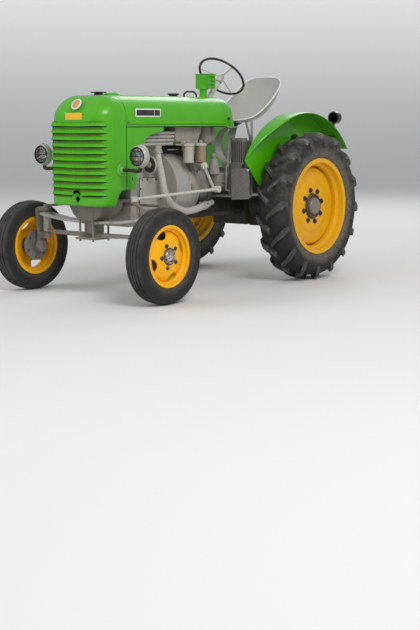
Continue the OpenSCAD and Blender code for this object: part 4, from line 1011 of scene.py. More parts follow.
class TRACTOR_OT_bonnet(PieceOperator):
    """The bonnet with its beads, caps and side plates, and the rear dome"""
    bl_idname = "tractor.bonnet"
    bl_label = "Bonnet"

    def execute(self, context):
        ys = [SEAM_FRONT + 1.5 + (SEAM_REAR - SEAM_FRONT - 3.5) * i / 6 for i in range(7)]
        shell = lofted("bonnet_shell", [[at(x, y, z) for x, z in bonnet_row()] for y in ys])
        finished(sheet_metal(shell), "green", ["bonnet"])
        dome = rounded_end("dome_shell", SEAM_REAR + 1.5, DOME_END, LOW_Z, 100)
        finished(sheet_metal(dome), "green", ["tank_dome"])
        liner = lofted("seam_liners", [[at(x, y, z) for x, z in bonnet_row(2.0)]
            for y in (SEAM_FRONT - 4, SEAM_FRONT + 4)])
        rear = copied(liner, Matrix.Translation(Y * (SEAM_REAR - SEAM_FRONT) * MM))
        finished(joined("seam_liners", [liner, rear]), "slot")
        bead = []
        for y, size in ((62, 0.2), (67, 1), (1190, 1), (1195, 0.2)):
            bead.append([at(HALF_W - 1 + (9 * size) * math.sin(math.pi * i / 10), y,
                1260 + 11 * math.cos(math.pi * i / 10) * (0.5 + 0.5 * size)) for i in range(11)])
        section = ((HALF_W - 6, 1229), (HALF_W + 0.5, 1229), (HALF_W + 0.5, 1235), (HALF_W - 6, 1235))
        gap = lofted("bonnet_gap", [[at(x, y, z) for x, z in section] for y in (56, 1198)], closed=True, caps=True)
        seam = block("nose_seam", (HALF_W - 2, 49.4, 802), (HALF_W + 0.6, 55.2, 1250), 0.3)
        finished(joined("bonnet_gap", [gap, mirrored(gap, "gap_right"), seam, mirrored(seam, "seam_right")]),
            "slot")
        left = lofted("bonnet_beads", bead, closed=True, caps=True)
        finished(pair("bonnet_beads", left), "green")
        disc = turned("bonnet_disc", [(0, -2), (66, -2), (66, 7), (61, 13), (48, 17), (26, 19), (0, 19.5)],
            (0, 209, 1460), Z, 48)
        finished(disc, "green")
        plates, panels = [], []
        for side in (1, -1):
            x = side * HALF_W
            inner, outer = sorted((x, x + side * 2.4))
            plates.append(block("side_plate", (inner, 152, 1303), (outer, 428, 1363), 1.0))
            inner, outer = sorted((x, x + side * 3.2))
            for y0, y1 in ((162, 356), (360, 418)):
                panels.append(block("side_plate_panel", (inner, y0, 1312), (outer, y1, 1354), 0.8))
        finished(joined("side_plates", plates), "plate_white")
        finished(joined("side_plate_panels", panels), "black")
        screws = bolts("bead_screws", [(HALF_W + 7.5, 72, 1260)], X, 7, 3)
        finished(pair("bead_screws", screws), "steel")
        return {"FINISHED"}


# Tyres

def crown(profile, share):
    """The point at a share of the way along a profile of points."""
    lengths = [0.0]
    for a, b in zip(profile, profile[1:]):
        lengths.append(lengths[-1] + math.dist(a, b))
    want = share * lengths[-1]
    for (a, b), start, end in zip(zip(profile, profile[1:]), lengths, lengths[1:]):
        if want <= end + 1e-9:
            t = (want - start) / (end - start)
            return tuple(p + (q - p) * t for p, q in zip(a, b))
    return profile[-1]


# Lugs, in millimetres: how they lean and widen from the tread's middle line to its shoulder, the share of a lug
# that lies before the shoulder, and how much wider its foot is on each side.
LUG_LEAN, LUG_HALF_WIDTH, LUG_SHOULDER, LUG_FOOT = (-70, 48), (16, 27), 0.62, 11


class TRACTOR_OT_rear_tyres(PieceOperator):
    """The rear tyres with their worn lugs"""
    bl_idname = "tractor.rear_tyres"
    bl_label = "Rear tyres"

    def execute(self, context):
        sizes = self.sizes(context)
        rng = random.Random(7)
        half = [(357, 103), (388, 104), (396, 112), (415, 123), (440, 128), (480, 130), (512, 125), (532, 113),
            (546, 98), (554, 76), (557, 45)]
        profile = [(r, -x) for r, x in half] + [(557, 0)] + [(r, x) for r, x in reversed(half)]
        carcass = turned("rear_tyre_left", profile, REAR_WHEEL, X, 72)
        top = [(0, 593.5), (30, 593), (60, 591), (85, 587), (104, 581), (118, 571), (129, 556), (134, 538),
            (136.3, 518), (136, 498), (133, 480)]
        stations = 12
        lugs = []
        for k in range(2 * sizes.lug_count):
            side = 1 if k % 2 == 0 else -1
            turn = math.pi * k / sizes.lug_count
            rows = []
            for i in range(stations + 1):
                share = i / stations
                x, r = crown(top, share)
                reach = min(1.0, share / LUG_SHOULDER)
                lean = LUG_LEAN[0] + (LUG_LEAN[1] - LUG_LEAN[0]) * reach ** 0.9
                wide = (LUG_HALF_WIDTH[0] + (LUG_HALF_WIDTH[1] - LUG_HALF_WIDTH[0]) * reach)
                wide *= 1 - 0.15 * max(0.0, share - 0.75) / 0.25
                wobble = [rng.uniform(-1, 1) * sizes.lug_wear / MM for _ in range(5)]
                base = (x * 0.88 if share > 0.6 else x, r - 42 if share < 0.6 else r - 32)
                # Each corner: how far round the tyre, then [along the axle, radius].
                shape = [(lean - wide - LUG_FOOT, base), (lean - wide, (x, r - 5 + wobble[0] * 0.5)),
                    (lean - wide + 5 + wobble[1], (x, r - 0.5)), (lean + wide - 5 + wobble[2], (x, r - 0.5)),
                    (lean + wide, (x, r - 5 + wobble[3] * 0.5)), (lean + wide + LUG_FOOT, base)]
                row = []
                for arc, (px, pr) in shape:
                    a = turn + arc / REAR_HUB[2]
                    row.append(at(REAR_WHEEL[0] + side * (px - 4), REAR_WHEEL[1] + pr * math.sin(a),
                        REAR_WHEEL[2] + pr * math.cos(a)))
                rows.append(row)
            lugs.append(lofted("lug", rows, closed=True, caps=True))
        lugs = joined("rear_lugs_left", lugs)
        right, other = mirrored(carcass, "rear_tyre_right"), mirrored(lugs, "rear_lugs_right")
        finished(carcass, "tyre_rear", ["tyre_rear_left"], 34, "wheel_rl")
        finished(right, "tyre_rear", ["tyre_rear_right"], 34, "wheel_rr")
        finished(lugs, "lug", (), 34, "wheel_rl")
        finished(other, "lug", (), 34, "wheel_rr")
        return {"FINISHED"}


class TRACTOR_OT_front_tyres(PieceOperator):
    """The front tyres with their three ribs"""
    bl_idname = "tractor.front_tyres"
    bl_label = "Front tyres"

    def execute(self, context):
        half = [(204, 51), (222, 52), (228, 60), (240, 69), (262, 75), (285, 76.3), (300, 75.5), (303, 73.6),
            (306, 75), (316, 72), (327, 65), (332, 56), (334, 50), (334.5, 42), (328, 40), (328, 35), (335, 33),
            (338, 24), (338.5, 15), (331, 13), (331, 9), (339, 7)]
        profile = [(r, -x) for r, x in half] + [(339.6, 0)] + [(r, x) for r, x in reversed(half)]
        left = turned("front_tyre_left", profile, FRONT_WHEEL, X, 96)
        right = mirrored(left, "front_tyre_right")
        finished(left, "tyre_front", ["tyre_front_left"], 30, "wheel_fl")
        finished(right, "tyre_front", ["tyre_front_right"], 30, "wheel_fr")
        return {"FINISHED"}


def rolled_rim(name, radius, bead, lip, well, centre):
    """A wheel's rim: a rolled lip on both sides, the bead seats and the well between them."""
    depth, shelf, floor, wall = well
    outer = [(radius, lip), (radius, bead + 2), (radius - shelf, bead), (radius - shelf, wall),
        (radius - depth, floor)]
    inner = [(radius - depth - 6, floor + 4), (radius - shelf - 7, wall + 3), (radius - shelf - 7, bead + 6),
        (radius - 3, lip)]
    profile = [(r, -x) for r, x in outer] + [(r, x) for r, x in reversed(outer)]
    profile += [(r, x) for r, x in reversed(inner)] + [(r, -x) for r, x in inner]
    rim = turned(name, profile, centre, X, 120)
    bevelled(rim, 2.2, angle_limit=math.radians(25))
    return rim


class TRACTOR_OT_wheels(PieceOperator):
    """Rims, discs, hubs, nuts and caps of the four wheels"""
    bl_idname = "tractor.wheels"
    bl_label = "Wheels"

    def execute(self, context):
        rear, front = REAR_WHEEL, FRONT_WHEEL
        rear_rim = rolled_rim("rear_wheel_left", 385, 103, 111, (55, 29, 46, 62), rear)
        rear_disc = turned("rear_disc_left", [(96, 30), (192, 30), (202, 27), (209, 22), (222, 21), (292, 21),
            (300, 18), (304, 8), (305, -22), (327, -30), (327, -24), (311, -17), (311, 12), (308, 22),
            (301, 27), (292, 29), (222, 28), (213, 30), (205, 35), (196, 37), (96, 37)], rear, X, 120)
        front_rim = rolled_rim("front_wheel_left", 220, 51, 57, (34, 17, 22, 32), front)
        front_disc = turned("front_disc_left", [(40, 44), (98, 44), (115, 41), (136, 32), (156, 20), (167, 11),
            (173, 2), (178, -10), (186, -18), (186, -12), (184, -6), (179, 8), (173, 18), (161, 28), (141, 39),
            (118, 47.5), (100, 50), (40, 50)], front, X, 120)
        for degrees in (20, 110, 200, 290):
            a = math.radians(degrees)
            spot = at(front[0] + 10, -190 * math.sin(a), front[2] + 190 * math.cos(a))
            cut_away(front_disc, new_piece("hand_hole", bpy.ops.mesh.primitive_cylinder_add, vertices=56,
                radius=62 * MM, depth=130 * MM, location=spot, rotation=(0, math.pi / 2, 0)))
        bevelled(front_disc, 1.0, angle_limit=math.radians(40))
        rear_hub = turned("rear_hub_left", [(0, 25), (99, 25), (99, 50), (96, 54), (89, 54.5), (85, 51),
            (82, 44), (0, 43)], rear, X, 64)
        rear_drum = turned("rear_drum_left", [(0, -197), (35, -197), (35, -119), (72, -119), (72, 22), (0, 22)],
            rear, X, 48)
        cap = [(0, 48), (54, 48), (53, 56), (49, 62), (43, 66), (33, 69), (18, 71), (0, 71.5)]
        front_cap = turned("front_cap_left", cap, front, X, 64)
        front_ring = turned("front_ring_left", [(0, 43), (62, 43), (62, 52), (60, 54), (57, 54.5), (54, 52),
            (0, 50)], front, X, 64)
        front_drum = turned("front_drum_left", [(20.5, -70), (50, -70), (50, -62), (112, -62), (114, -60),
            (116, -40), (112, -38), (60, -34), (48, -20), (46, 43), (20.5, 43)], front, X, 64)
        nuts = bolts("rear_nuts_left", round_wheel(rear, 36.5, 130, 8, -15), X, 15, 15)
        studs = bolts("front_nuts_left", round_wheel(front, 49.5, 81, 5, -22), X, 11, 12)
        inner = bolts("drum_bolts", round_wheel(front, -61.5, 92, 6, 10), -X, 7, 6)
        rear_cap = turned("rear_cap_left", [(0, 40), (71, 40), (70, 54), (66, 65), (57, 73), (44, 78), (28, 81),
            (12, 82), (0, 82.4)], rear, X, 56)
        pieces = ((rear_cap, "rear", "cap"),
            (joined("rear_wheel_left", [rear_rim, rear_disc]), "rear", "wheel_rear"),
            (joined("rear_hub_left", [rear_hub, rear_drum]), "rear", "hub"),
            (nuts, "rear", "nut"),
            (joined("front_wheel_left", [front_rim, front_disc]), "front", "wheel_front"),
            (front_cap, "front", "bright_cap"),
            (joined("front_ring_left", [front_ring, inner]), "front", "nut"),
            (front_drum, "front", "drum"),
            (studs, "front", "nut"))
        for piece, end, look in pieces:
            right = mirrored(piece, piece.name.replace("left", "right"))
            for made, side in ((piece, "left"), (right, "right")):
                body = "wheel_" + end[0] + side[0]
                if look == "wheel_" + end:
                    finished(made, look, ["wheel_{}_{}".format(end, side)], 40, body)
                else:
                    finished(made, look, (), 40, body)
        return {"FINISHED"}


# Fenders, seat and steering wheel

FENDER_R, FENDER_WALL_X, FENDER_OUT_X = 745, 496, 655
# Degrees over the rear axle's level: where the sheet ends in front and behind.
FENDER_FRONT, FENDER_REAR = 32, 36.8


def fender_outer_x(y):
    """The tapered outline of a fender's front tip."""
    tip = REAR_HUB[1] - FENDER_R * math.cos(math.radians(FENDER_FRONT))
    edge = [(tip - 8, 504), (tip + 20, 520), (tip + 55, 541), (tip + 90, 563), (tip + 130, 586),
        (tip + 180, 610), (tip + 235, 631), (tip + 290, 646), (tip + 340, FENDER_OUT_X)]
    return between(edge, y)


class TRACTOR_OT_fenders(PieceOperator):
    """The fenders with their rolled edges and inner walls"""
    bl_idname = "tractor.fenders"
    bl_label = "Fenders"

    def execute(self, context):
        top, edge = [], []
        cy, cz = REAR_HUB[1:]
        for i in range(73):
            a = math.radians(FENDER_FRONT + (180 - FENDER_FRONT - FENDER_REAR) * i / 72)
            out = fender_outer_x(cy - FENDER_R * math.cos(a))
            row = []
            for share in (0.0, 0.04, 0.25, 0.5, 0.75, 0.93, 0.985, 1.0):
                drop = 7.0 * max(0.0, (share - 0.93) / 0.07) ** 2 + 3.0 * max(0.0, (0.04 - share) / 0.04)
                r = FENDER_R + 3.6 - drop
                row.append(at(FENDER_WALL_X + (out - FENDER_WALL_X) * share, cy - r * math.cos(a),
                    cz + r * math.sin(a)))
            top.append(row)
            r = FENDER_R - 2.5
            edge.append((out - 1.5, cy - r * math.cos(a), cz + r * math.sin(a)))
        sheet = lofted("fender_sheet", top)
        sheet_metal(sheet, 3.2)
        roll = tube("fender_roll", edge, 3.4, sides=3, smooth=2)
        arc = [math.radians(36.4 + (180 - 36.4 - 30.3) * i / 60) for i in range(61)]
        wall_r = FENDER_R + 1
        outline = [(-643, 376), (-560, 285), (-500, 222), (-462, 186), (-420, 160), (420, 160), (462, 218),
            (500, 300), (599, 442)] + [(wall_r * math.cos(a), wall_r * math.sin(a)) for a in arc]
        wall = plate("fender_wall", [(FENDER_WALL_X, cy + y, cz + z) for y, z in outline], (4, 0, 0), 0.8)
        left = joined("fenders", [sheet, roll, wall])
        right = mirrored(left, "fender_right")
        finished(joined("fenders", [left, right]), "green", ["fenders"])
        return {"FINISHED"}


SEAT_Y, SEAT_Z = 1714, 1275
# Half of the rim from the front middle to the top of the back, and the seat's middle line below it.
SEAT_RIM = [(0, -165, 4), (70, -165, 4), (135, -158, 6), (182, -128, 12), (210, -70, 26), (222, -10, 52),
    (228, 60, 92), (229, 130, 136), (226, 200, 184), (220, 268, 236), (208, 328, 284), (186, 368, 326),
    (145, 394, 352), (85, 407, 364), (0, 411, 368)]
SEAT_MIDDLE = [(-128, -6), (-100, -11), (-70, -14), (-36, -16), (4, -16), (52, -14), (104, -9), (160, 4),
    (216, 28), (270, 68), (318, 122), (354, 180), (382, 234), (402, 284), (412, 322)]


def smooth_path(points, steps):
    """A Catmull-Rom path through the points."""
    spots = [Vector(point) for point in points]
    spots = [spots[0] * 2 - spots[1]] + spots + [spots[-1] * 2 - spots[-2]]
    path = []
    for a, b, c, d in zip(spots, spots[1:], spots[2:], spots[3:]):
        for i in range(steps):
            t = i / steps
            path.append(0.5 * (2 * b + (c - a) * t + (2 * a - 5 * b + 4 * c - d) * t * t
                               + (3 * b - a - 3 * c + d) * t ** 3))
    return path + [spots[-2]]


class TRACTOR_OT_seat(PieceOperator):
    """The pressed bucket seat with its rolled rim"""
    bl_idname = "tractor.seat"
    bl_label = "Seat"

    def execute(self, context):
        sizes = self.sizes(context)
        rim = smooth_path(SEAT_RIM, 4)
        middle = smooth_path([(0, y, z) for y, z in SEAT_MIDDLE], 4)
        rows = []
        for edge, low in zip(rim, middle):
            half = []
            for k in range(15):
                turn = math.pi / 2 * k / 14
                inward, down = (1 - math.cos(turn)) ** 0.9, math.sin(turn) ** 0.95
                half.append((edge.x * (1 - inward),
                    SEAT_Y + edge.y + (low.y - edge.y) * (0.35 * down + 0.65 * inward),
                    SEAT_Z + edge.z + (low.z - edge.z) * down))
            rows.append([at(*point) for point in half] + [at(-x, y, z) for x, y, z in reversed(half[:-1])])
        shell = lofted("seat_shell", rows)
        modified(shell, "SOLIDIFY", thickness=4.0 * MM, offset=0.0)
        loop = [(p.x, SEAT_Y + p.y, SEAT_Z + p.z) for p in rim[::2]]
        edge = tube("seat_rim", loop, sizes.seat_rim / MM, 4, 4)
        finished(shell, "seat", ["seat_pan"], 60)
        finished(pair("seat_rim", edge), "rim", smooth=60)
        heads = bolts("seat_bolts", [(90, SEAT_Y + 20, SEAT_Z - 6), (-90, SEAT_Y + 20, SEAT_Z - 6)], Z, 7, 5)
        finished(heads, "nut")
        return {"FINISHED"}


class TRACTOR_OT_steering_wheel(PieceOperator):
    """The steering wheel"""
    bl_idname = "tractor.steering_wheel"
    bl_label = "Steering wheel"

    def execute(self, context):
        place = Matrix.Translation(at(0, 1515, 1632)) @ Matrix.Rotation(math.radians(-44), 4, "X")
        rim = new_piece("steering_rim", bpy.ops.mesh.primitive_torus_add, major_segments=96, minor_segments=20,
            major_radius=0.197, minor_radius=0.0098)
        rim.data.transform(place)
        finished(rim, "black", ["steering_wheel"], 60, "steering_wheel")
        spokes = []
        for degrees in (90, 210, 330):
            a = math.radians(degrees)
            path = [(r * math.cos(a), r * math.sin(a), z) for r, z in ((16, -5), (60, -6), (120, -5),
                (168, -1.5), (192, 0))]
            spokes.append(tube("steering_spoke", path, 4.5, sides=3, smooth=4))
        hub = turned("steering_hub", [(0, -24), (22, -24), (25, -21), (25, 2), (20, 8), (12, 10), (0, 10.5)],
            (0, 0, 0), Z, 36)
        shaft = turned("steering_shaft", [(0, -70), (9, -70), (9, -23), (0, -23)], (0, 0, 0), Z, 24)
        boss = turned("steering_boss", [(0, -62), (22, -62), (27, -58), (28, -30), (26, -25), (0, -25)],
            (0, 0, 0), Z, 36)
        piece = joined("steering_spokes", spokes + [hub, shaft, boss])
        finished(placed(piece, place), "cream", (), 50, "steering_wheel")
        sleeve = turned("column_sleeve", [(18, -400), (20, -400), (20, -82), (22, -80), (22, -74), (10, -72),
            (10, -80), (18, -84)], (0, 0, 0), Z, 36)
        finished(placed(sleeve, place), "cream")
        nut = bolts("steering_nut", [(0, 0, 0)], (0, 0, 1), 11, 10)
        finished(placed(nut, place @ Matrix.Translation(Z * 10 * MM)), "steel", body="steering_wheel")
        return {"FINISHED"}


# Lamps

class TRACTOR_OT_lamps(PieceOperator):
    """The headlamps with reflectors and fluted glass, and the rear lamps"""
    bl_idname = "tractor.lamps"
    bl_label = "Lamps"

    def execute(self, context):
        place = (480, 0, 1029)
        shell = turned("headlamp_left", [(0, 24), (18, 22.5), (34, 18), (46, 12), (56, 4), (64, -3), (71, -10),
            (76, -15), (79, -19), (76, -20), (66, -9), (50, 4), (32, 14), (0, 19)], place, Y, 72)
        band = turned("headlamp_band", [(77, -15.5), (80.5, -17), (82.5, -20), (83, -25), (82.5, -31),
            (80.5, -38), (77, -46), (73, -53), (69.5, -58.5), (67.5, -61), (65.5, -61.5), (64, -60),
            (63.5, -56), (63.5, -50), (74, -38), (78, -24)], place, Y, 72)
        mirror = turned("lamp_reflector", [(64, -50), (62, -38), (56, -22), (45, -8), (30, 2), (0, 8), (0, 11),
            (32, 5), (47, -5), (58, -20), (64, -37), (66, -50)], place, Y, 72)
        bulb = turned("lamp_bulb", [(0, -40), (9, -38), (14, -31), (14, -22), (8, -12), (8, 6), (0, 6)], place,
            Y, 24)
        glass = turned("lamp_glass", [(0, -66), (22, -65.4), (42, -63), (56, -60.2), (64, -57), (64, -54.5),
            (56, -57.7), (42, -60.5), (22, -62.9), (0, -63.5)], place, Y, 72)
        boss = turned("lamp_bosses", [(0, 0.3), (44, 0.3), (44, 5), (42.5, 8.5), (39, 10), (34, 9), (31, 5.5),
            (28.5, 5.5), (28, 13), (26, 20), (21, 26), (12, 30), (0, 31)], (280, -8, 930), X, 48)
        arm = tube("lamp_arms", [(300, -8, 930), (340, -12, 931), (400, -18, 929), (456, -24, 925),
            (480, -26, 930), (480, -26, 948)], 14, 5, 6)
        finished(pair("lamp_bosses", boss), "boss", ["lamp_bar"])
        finished(pair("lamp_arms", arm), "nut")
        left = joined("headlamps", [shell, band])
        for piece, name, look, slot, gone in (
                (left, "headlamps", "lamp", "lamp_paint", ["headlamps"]),
                (mirror, "lamp_reflectors", "mirror", "lens", ()),
                (bulb, "lamp_bulbs", "plate_white", "lens", ()),
                (glass, "lamp_glasses", "lens", "lens", ["lamp_lenses"])):
            finished(pair(name, piece), look, gone, 45)
        seal = turned("lamp_seals", [(59.5, -58.5), (60, -62), (66.5, -62.5), (67, -60), (64, -57.5)], place, Y,
            72)
        finished(pair("lamp_seals", seal), "slot")
        clamp = bolts("lamp_clips", [(480, -35, 1029 + 80)], Z, 5, 5)
        finished(pair("lamp_clips", clamp), "steel")
        rear = turned("rear_lamp_left", [(0, -10), (40, -10), (46, -8), (50, -4), (52, 2), (52, 30), (49, 35),
            (44, 36), (44, 33), (0, 33)], (570, 2320, 1300), Y, 48)
        stem = rod("rear_lamp_stem", (570, 2320, 1144), (570, 2320, 1256), 9.5, 16)
        foot = turned("rear_lamp_foot", [(0, 0), (26, 0), (26, 4), (12, 8), (0, 8)], (570, 2320, 1140), Z, 28)
        body = joined("rear_lamps", [rear, stem, foot])
        glass = turned("rear_lamp_glass", [(0, 39), (20, 38.4), (36, 36.5), (43.5, 34), (43.5, 31), (0, 31)],
            (570, 2320, 1300), Y, 40)
        finished(pair("rear_lamps", body), "black", ["rear_lamps"], 40)
        finished(pair("rear_lamp_glasses", glass), "red_lens", (), 40)
        return {"FINISHED"}


# Engine side

class TRACTOR_OT_exhaust(PieceOperator):
    """The bent exhaust pipe with its flange, clamp and bracket"""
    bl_idname = "tractor.exhaust"
    bl_label = "Exhaust pipe"

    def execute(self, context):
        path = [(226, 452, 1045), (228, 454, 990), (250, 468, 873), (268, 464, 800), (282, 464, 745),
            (293, 482, 700), (300, 520, 664), (304, 549, 645), (304, 610, 618), (304, 681, 597),
            (304, 773, 602), (297, 850, 615), (290, 926, 628)]
        pipe = tube("exhaust_pipe", path, 27.2, sides=8, smooth=8, order=3)
        tail = tube("exhaust_tail", [(290, 926, 628), (283, 980, 638), (275, 1040, 647.5)], 21, sides=7, smooth=6)
        lozenge = ((-22, -34), (22, -34), (36, 0), (22, 34), (-22, 34), (-36, 0))
        flange = plate("exhaust_flange", [(226 + x, 452 + y, 1040) for x, y in lozenge], (0, 0, 11.5), 2)
        clamp = tube("exhaust_clamp", [(288, 948, 632), (289, 938, 630), (291, 914, 626)], 31, sides=8, smooth=4)
        ears = block("clamp_ears", (312, 918, 620), (331, 942, 640), 2)
        bracket = block("pipe_bracket", (171, 1003, 632), (274, 1021, 648), 2)
        piece = joined("exhaust_pipe", [pipe, tail, flange, clamp, ears, bracket])
        finished(piece, "pipe", ["exhaust_pipe"], 45)
        heads = bolts("exhaust_bolts", [(226 - 24, 452, 1051), (226 + 24, 452, 1051)], Z, 8, 8)
        more = bolts("clamp_bolts", [(321, 930, 640)], Z, 6, 6)
        finished(joined("exhaust_bolts", [heads, more]), "rust")
        return {"FINISHED"}


class TRACTOR_OT_manifold(PieceOperator):
    """The ribbed exhaust manifold with its round outlet"""
    bl_idname = "tractor.manifold"
    bl_label = "Exhaust manifold"

    def execute(self, context):
        ribs = []
        for i in range(4):
            z, end = 1106 + 27 * i, 648 - 10 * (3 - i)
            ribs.append(block("manifold_rib", (146, 262, z - 10.5), (241 - 1.5 * i, end, z + 10.5), 7.5, 4))
        core = block("manifold_core", (141, 266, 1094), (226, 606, 1199), 3)
        outlet = turned("manifold_outlet", [(0, 1052), (33, 1052), (35, 1054), (35, 1060), (33, 1062),
            (29, 1064), (29, 1080), (33, 1096), (0, 1096)], (226, 452, 0), Z, 40)
        finished(joined("exhaust_manifold", ribs + [outlet]), "manifold", ["exhaust_manifold"],
            45)
        finished(core, "strap")
        return {"FINISHED"}


class TRACTOR_OT_engine_trim(PieceOperator):
    """Bolts, covers, bowls and pipes of the engine side"""
    bl_idname = "tractor.engine_trim"
    bl_label = "Engine trim"

    def execute(self, context):
        cover = [(192, y, z) for y, z in ((318, 845), (372, 845), (298, 780), (330, 604), (420, 604),
            (505, 604), (522, 700), (522, 800), (470, 845))]
        heads = bolts("cover_bolts", cover, X, 4.5, 4)
        finished(pair("cover_bolts", heads), "nut")
        outline = [(295, 590), (285, 600), (285, 850), (295, 860), (540, 860), (550, 850), (550, 600),
            (540, 590), (295, 590)]
        seam = tube("cover_seam", [(190.5, y, z) for y, z in outline], 2.2, 2, 2, 2)
        finished(pair("cover_seam", seam), "slot")
        dynamo = turned("dynamo_end", [(0, 330), (30, 330), (34, 328), (38, 330), (50, 330), (56, 333),
            (59, 338), (59, 341), (0, 341)], (250, 0, 957), Y, 48)
        finished(dynamo, "dynamo")
        heads = bolts("gearbox_bolts", [(158.5, 994, z) for z in (600, 690, 790, 880)], -Y, 8, 6)
        finished(pair("gearbox_bolts", heads), "rust")
        for y, look in ((735, "bowl_light"), (882, "bowl")):
            profile = [(0, 960), (34, 960), (40, 962), (42.5, 965), (42.5, 972), (39.7, 975), (39.7, 1062),
                (42.5, 1065), (42.5, 1070), (39.7, 1073), (39.7, 1084), (0, 1084)]
            finished(turned("filter_bowl", profile, (290, y, 0), Z, 56), look)
        heads, plugs = [], []
        profile = [(0, 1084), (40, 1084.5), (44.5, 1087), (44.5, 1103), (42, 1106), (30, 1109.5), (0, 1110)]
        for y in (735, 882):
            heads.append(turned("filter_head", profile, (290, y, 0), Z, 56))
            for name, x, dy, low, high, radius in (("filter_bolt", 290, 0, 1108, 1128, 9),
                    ("filter_bolt", 272, -26, 1100, 1124, 7)):
                heads.append(rod(name, (x, y + dy, low), (x, y + dy, high), radius, 6))
            heads.append(rod("filter_union", (300, y - 44, 1094), (300, y - 62, 1094), 9, 6))
            for name, x, dy, low, high, radius in (("filter_plug", 290, 0, 944, 962, 8),
                    ("filter_nut", 270, 14, 950, 972, 6), ("filter_nut", 306, -12, 948, 972, 6)):
                plugs.append(rod(name, (x, y + dy, low), (x, y + dy, high), radius, 6))
        finished(joined("filter_heads", heads), "bowl_light")
        finished(joined("filter_plugs", plugs), "nut")
        link = [(300, 782, 1096), (300, 800, 1103), (300, 816, 1103), (300, 838, 1096)]
        back = [(300, 928, 1094), (300, 950, 1096), (284, 985, 1110), (250, 1010, 1104)]
        pipes = [tube("filter_link", link, 4, 3, 6), rod("fuel_rod", (200, 595, 1061), (200, 722, 1061), 3, 10),
            tube("return_line", back, 2.6, 3, 8)]
        finished(joined("fuel_lines", pipes), "bowl_light", (), 50)
        stay = block("fender_stays", (402, 1238, 902), (497, 1243, 950), 1)
        finished(pair("fender_stays", stay), "strap")
        # Painted shade: a dark block between the engine and the tank darkens the engine bay behind the filters.
        bay_shade = block("pump_body", (-110, 590, 985), (112, 880, 1088), 14, 4)
        finished(bay_shade, "dark")
        low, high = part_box("battery_box")
        x0, x1, y0 = low.x / MM + 2, high.x / MM - 2, (low.y - AXLE_Y) / MM + 14
        slots = []
        for i in range(6):
            x = x0 + 12 + 19 * i
            slots.append(block("battery_rib", (x, y0 - 0.6, 955), (x + 7, y0 + 1, 1116), 0.3))
        for i in range(5):
            y = y0 + 12 + 22 * i
            slots.append(block("battery_rib", (x1 - 1, y, 955), (x1 + 0.6, y + 8, 1116), 0.3))
        finished(joined("battery_ribs", slots), "slot")
        lug = [block("bell_lug", (262, 782, 758), (288, 798, 800), 3)]
        lug += [rod("bell_lug_bolt", (285, 790, z), (295, 790, z), 5, 6) for z in (768, 790)]
        finished(joined("bell_lug", lug), "bowl")
        knob = rod("dome_knob", (279, 1240, 1293), (296, 1240, 1293), 11, 16)
        finished(knob, "black")
        slot = block("panel_slot", (279.4, 109, 852), (280.8, 116, 873), 0.5)
        finished(slot, "slot")
        return {"FINISHED"}


# Stage

CAMERA_PLACE, CAMERA_TURN = (6.136, -7.399, 1.2645), (80.91, 0.1, 38.44)
BACKDROP_TURN = 0.670859  # squares the backdrop with the camera


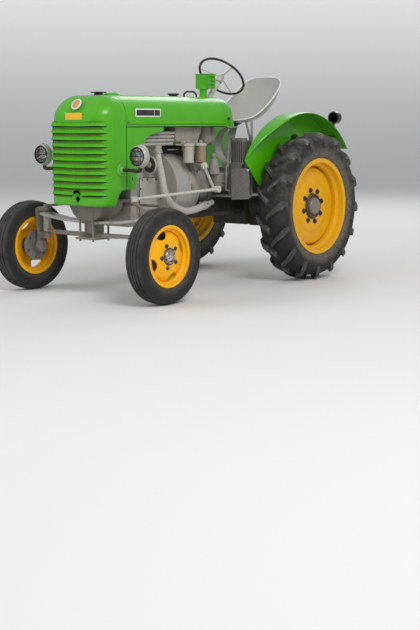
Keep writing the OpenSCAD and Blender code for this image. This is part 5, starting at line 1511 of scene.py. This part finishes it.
class TRACTOR_OT_stage(PieceOperator):
    """The floor with its backdrop, the lamps, the sky and the camera"""
    bl_idname = "tractor.stage"
    bl_label = "Stage"

    def execute(self, context):
        floor = new_piece("stage_floor", bpy.ops.mesh.primitive_plane_add, size=44)
        mode("EDIT")
        bpy.ops.mesh.select_mode(type="EDGE")
        bpy.ops.mesh.select_all(action="DESELECT")
        mode("OBJECT")
        for edge in floor.data.edges:
            ends = [floor.data.vertices[i].co.y for i in edge.vertices]
            edge.select = min(ends) > 0
        mode("EDIT")
        bpy.ops.mesh.extrude_region_move(TRANSFORM_OT_translate={"value": (0, 0, 14)})
        mode("OBJECT")
        floor.rotation_euler.z = BACKDROP_TURN
        place_applied()
        modified(floor, "BEVEL", width=5.0, segments=10, limit_method="ANGLE")
        bpy.ops.object.shade_smooth()
        made, n, shader, place = material("stage_floor", 0.9)
        c = self.colours(context).backdrop
        n.link(n.mix(n.noise(place, 0.4), c, scaled(c, 0.97)), shader.inputs["Base Color"])
        shader.inputs["Emission Color"].default_value = (1.0, 0.995, 0.985, 1)
        seen = n.add("ShaderNodeLightPath").outputs["Is Camera Ray"]
        n.link(n.times(seen, n.ramp(n.part(place, "Z"), 0.1, 6.0, 0.0, 0.4)), shader.inputs["Emission Strength"])
        floor.data.materials.append(made)
        for name, spot, size, power, tint in (("key_lamp", (7.5, -4.5, 7.5), 5.0, 560, (1.0, 0.985, 0.96)),
                ("fill_lamp", (-5.5, -8.0, 4.5), 6.0, 240, (0.95, 0.98, 1.0)),
                ("rear_lamp", (-3.0, 8.5, 7.0), 5.0, 260, (1.0, 1.0, 1.0))):
            lamp = new_piece(name, bpy.ops.object.light_add, type="AREA", location=spot)
            lamp.data.shape = "DISK"
            lamp.data.size = size
            lamp.data.energy = power
            lamp.data.color = tint
            lamp.visible_glossy = name != "fill_lamp"
            lamp.rotation_euler = (Vector((0, 0, 0.7)) - Vector(spot)).to_track_quat("-Z", "Y").to_euler()
        world = bpy.data.worlds.new("soft_sky")
        context.scene.world = world
        world.use_nodes = True
        n = Nodes(world.node_tree)
        lit = world.node_tree.nodes["Background"]
        lit.inputs["Color"].default_value = (0.92, 0.96, 1.0, 1)
        lit.inputs["Strength"].default_value = 0.5
        seen = n.add("ShaderNodeBackground", {"Color": (0.86, 0.86, 0.85, 1), "Strength": 0.9})
        ray = n.add("ShaderNodeLightPath").outputs
        which = n.math("MAXIMUM", ray["Is Camera Ray"], ray["Is Transmission Ray"])
        mixed = n.add("ShaderNodeMixShader", {0: which, 1: lit.outputs[0], 2: seen.outputs[0]})
        n.link(mixed.outputs[0], world.node_tree.nodes["World Output"].inputs["Surface"])
        context.scene.view_settings.view_transform = "Standard"
        camera = new_piece("photo_camera", bpy.ops.object.camera_add, location=CAMERA_PLACE,
            rotation=[math.radians(angle) for angle in CAMERA_TURN])
        camera.data.lens = self.sizes(context).camera_lens
        camera.data.sensor_width = 36
        context.scene.camera = camera
        return {"FINISHED"}


PIECES = (TRACTOR_OT_stage, TRACTOR_OT_finishes, TRACTOR_OT_castings, TRACTOR_OT_bell, TRACTOR_OT_nose,
    TRACTOR_OT_bonnet, TRACTOR_OT_fenders, TRACTOR_OT_seat, TRACTOR_OT_steering_wheel, TRACTOR_OT_lamps,
    TRACTOR_OT_rear_tyres, TRACTOR_OT_front_tyres, TRACTOR_OT_wheels, TRACTOR_OT_exhaust, TRACTOR_OT_manifold,
    TRACTOR_OT_engine_trim)


class TRACTOR_PT_panel(bpy.types.Panel):
    """The tractor's settings and pieces"""
    bl_idname = "TRACTOR_PT_panel"
    bl_label = "Tractor"
    bl_space_type = "VIEW_3D"
    bl_region_type = "UI"
    bl_category = "Tractor"

    def draw(self, context):
        for group in (context.scene.tractor_sizes, context.scene.tractor_colours):
            box = self.layout.box()
            for name in group.__annotations__:
                box.prop(group, name)
        column = self.layout.column(align=True)
        for piece in PIECES:
            column.operator(piece.bl_idname)


CLASSES = (TractorSizes, TractorColours) + PIECES + (TRACTOR_PT_panel,)


def register():
    for kind in CLASSES:
        bpy.utils.register_class(kind)
    bpy.types.Scene.tractor_sizes = PointerProperty(type=TractorSizes)
    bpy.types.Scene.tractor_colours = PointerProperty(type=TractorColours)


def unregister():
    del bpy.types.Scene.tractor_colours
    del bpy.types.Scene.tractor_sizes
    for kind in reversed(CLASSES):
        bpy.utils.unregister_class(kind)


def main():
    register()
    for piece in PIECES:
        group, name = piece.bl_idname.split(".")
        getattr(getattr(bpy.ops, group), name)()


if __name__ == "__main__":
    main()
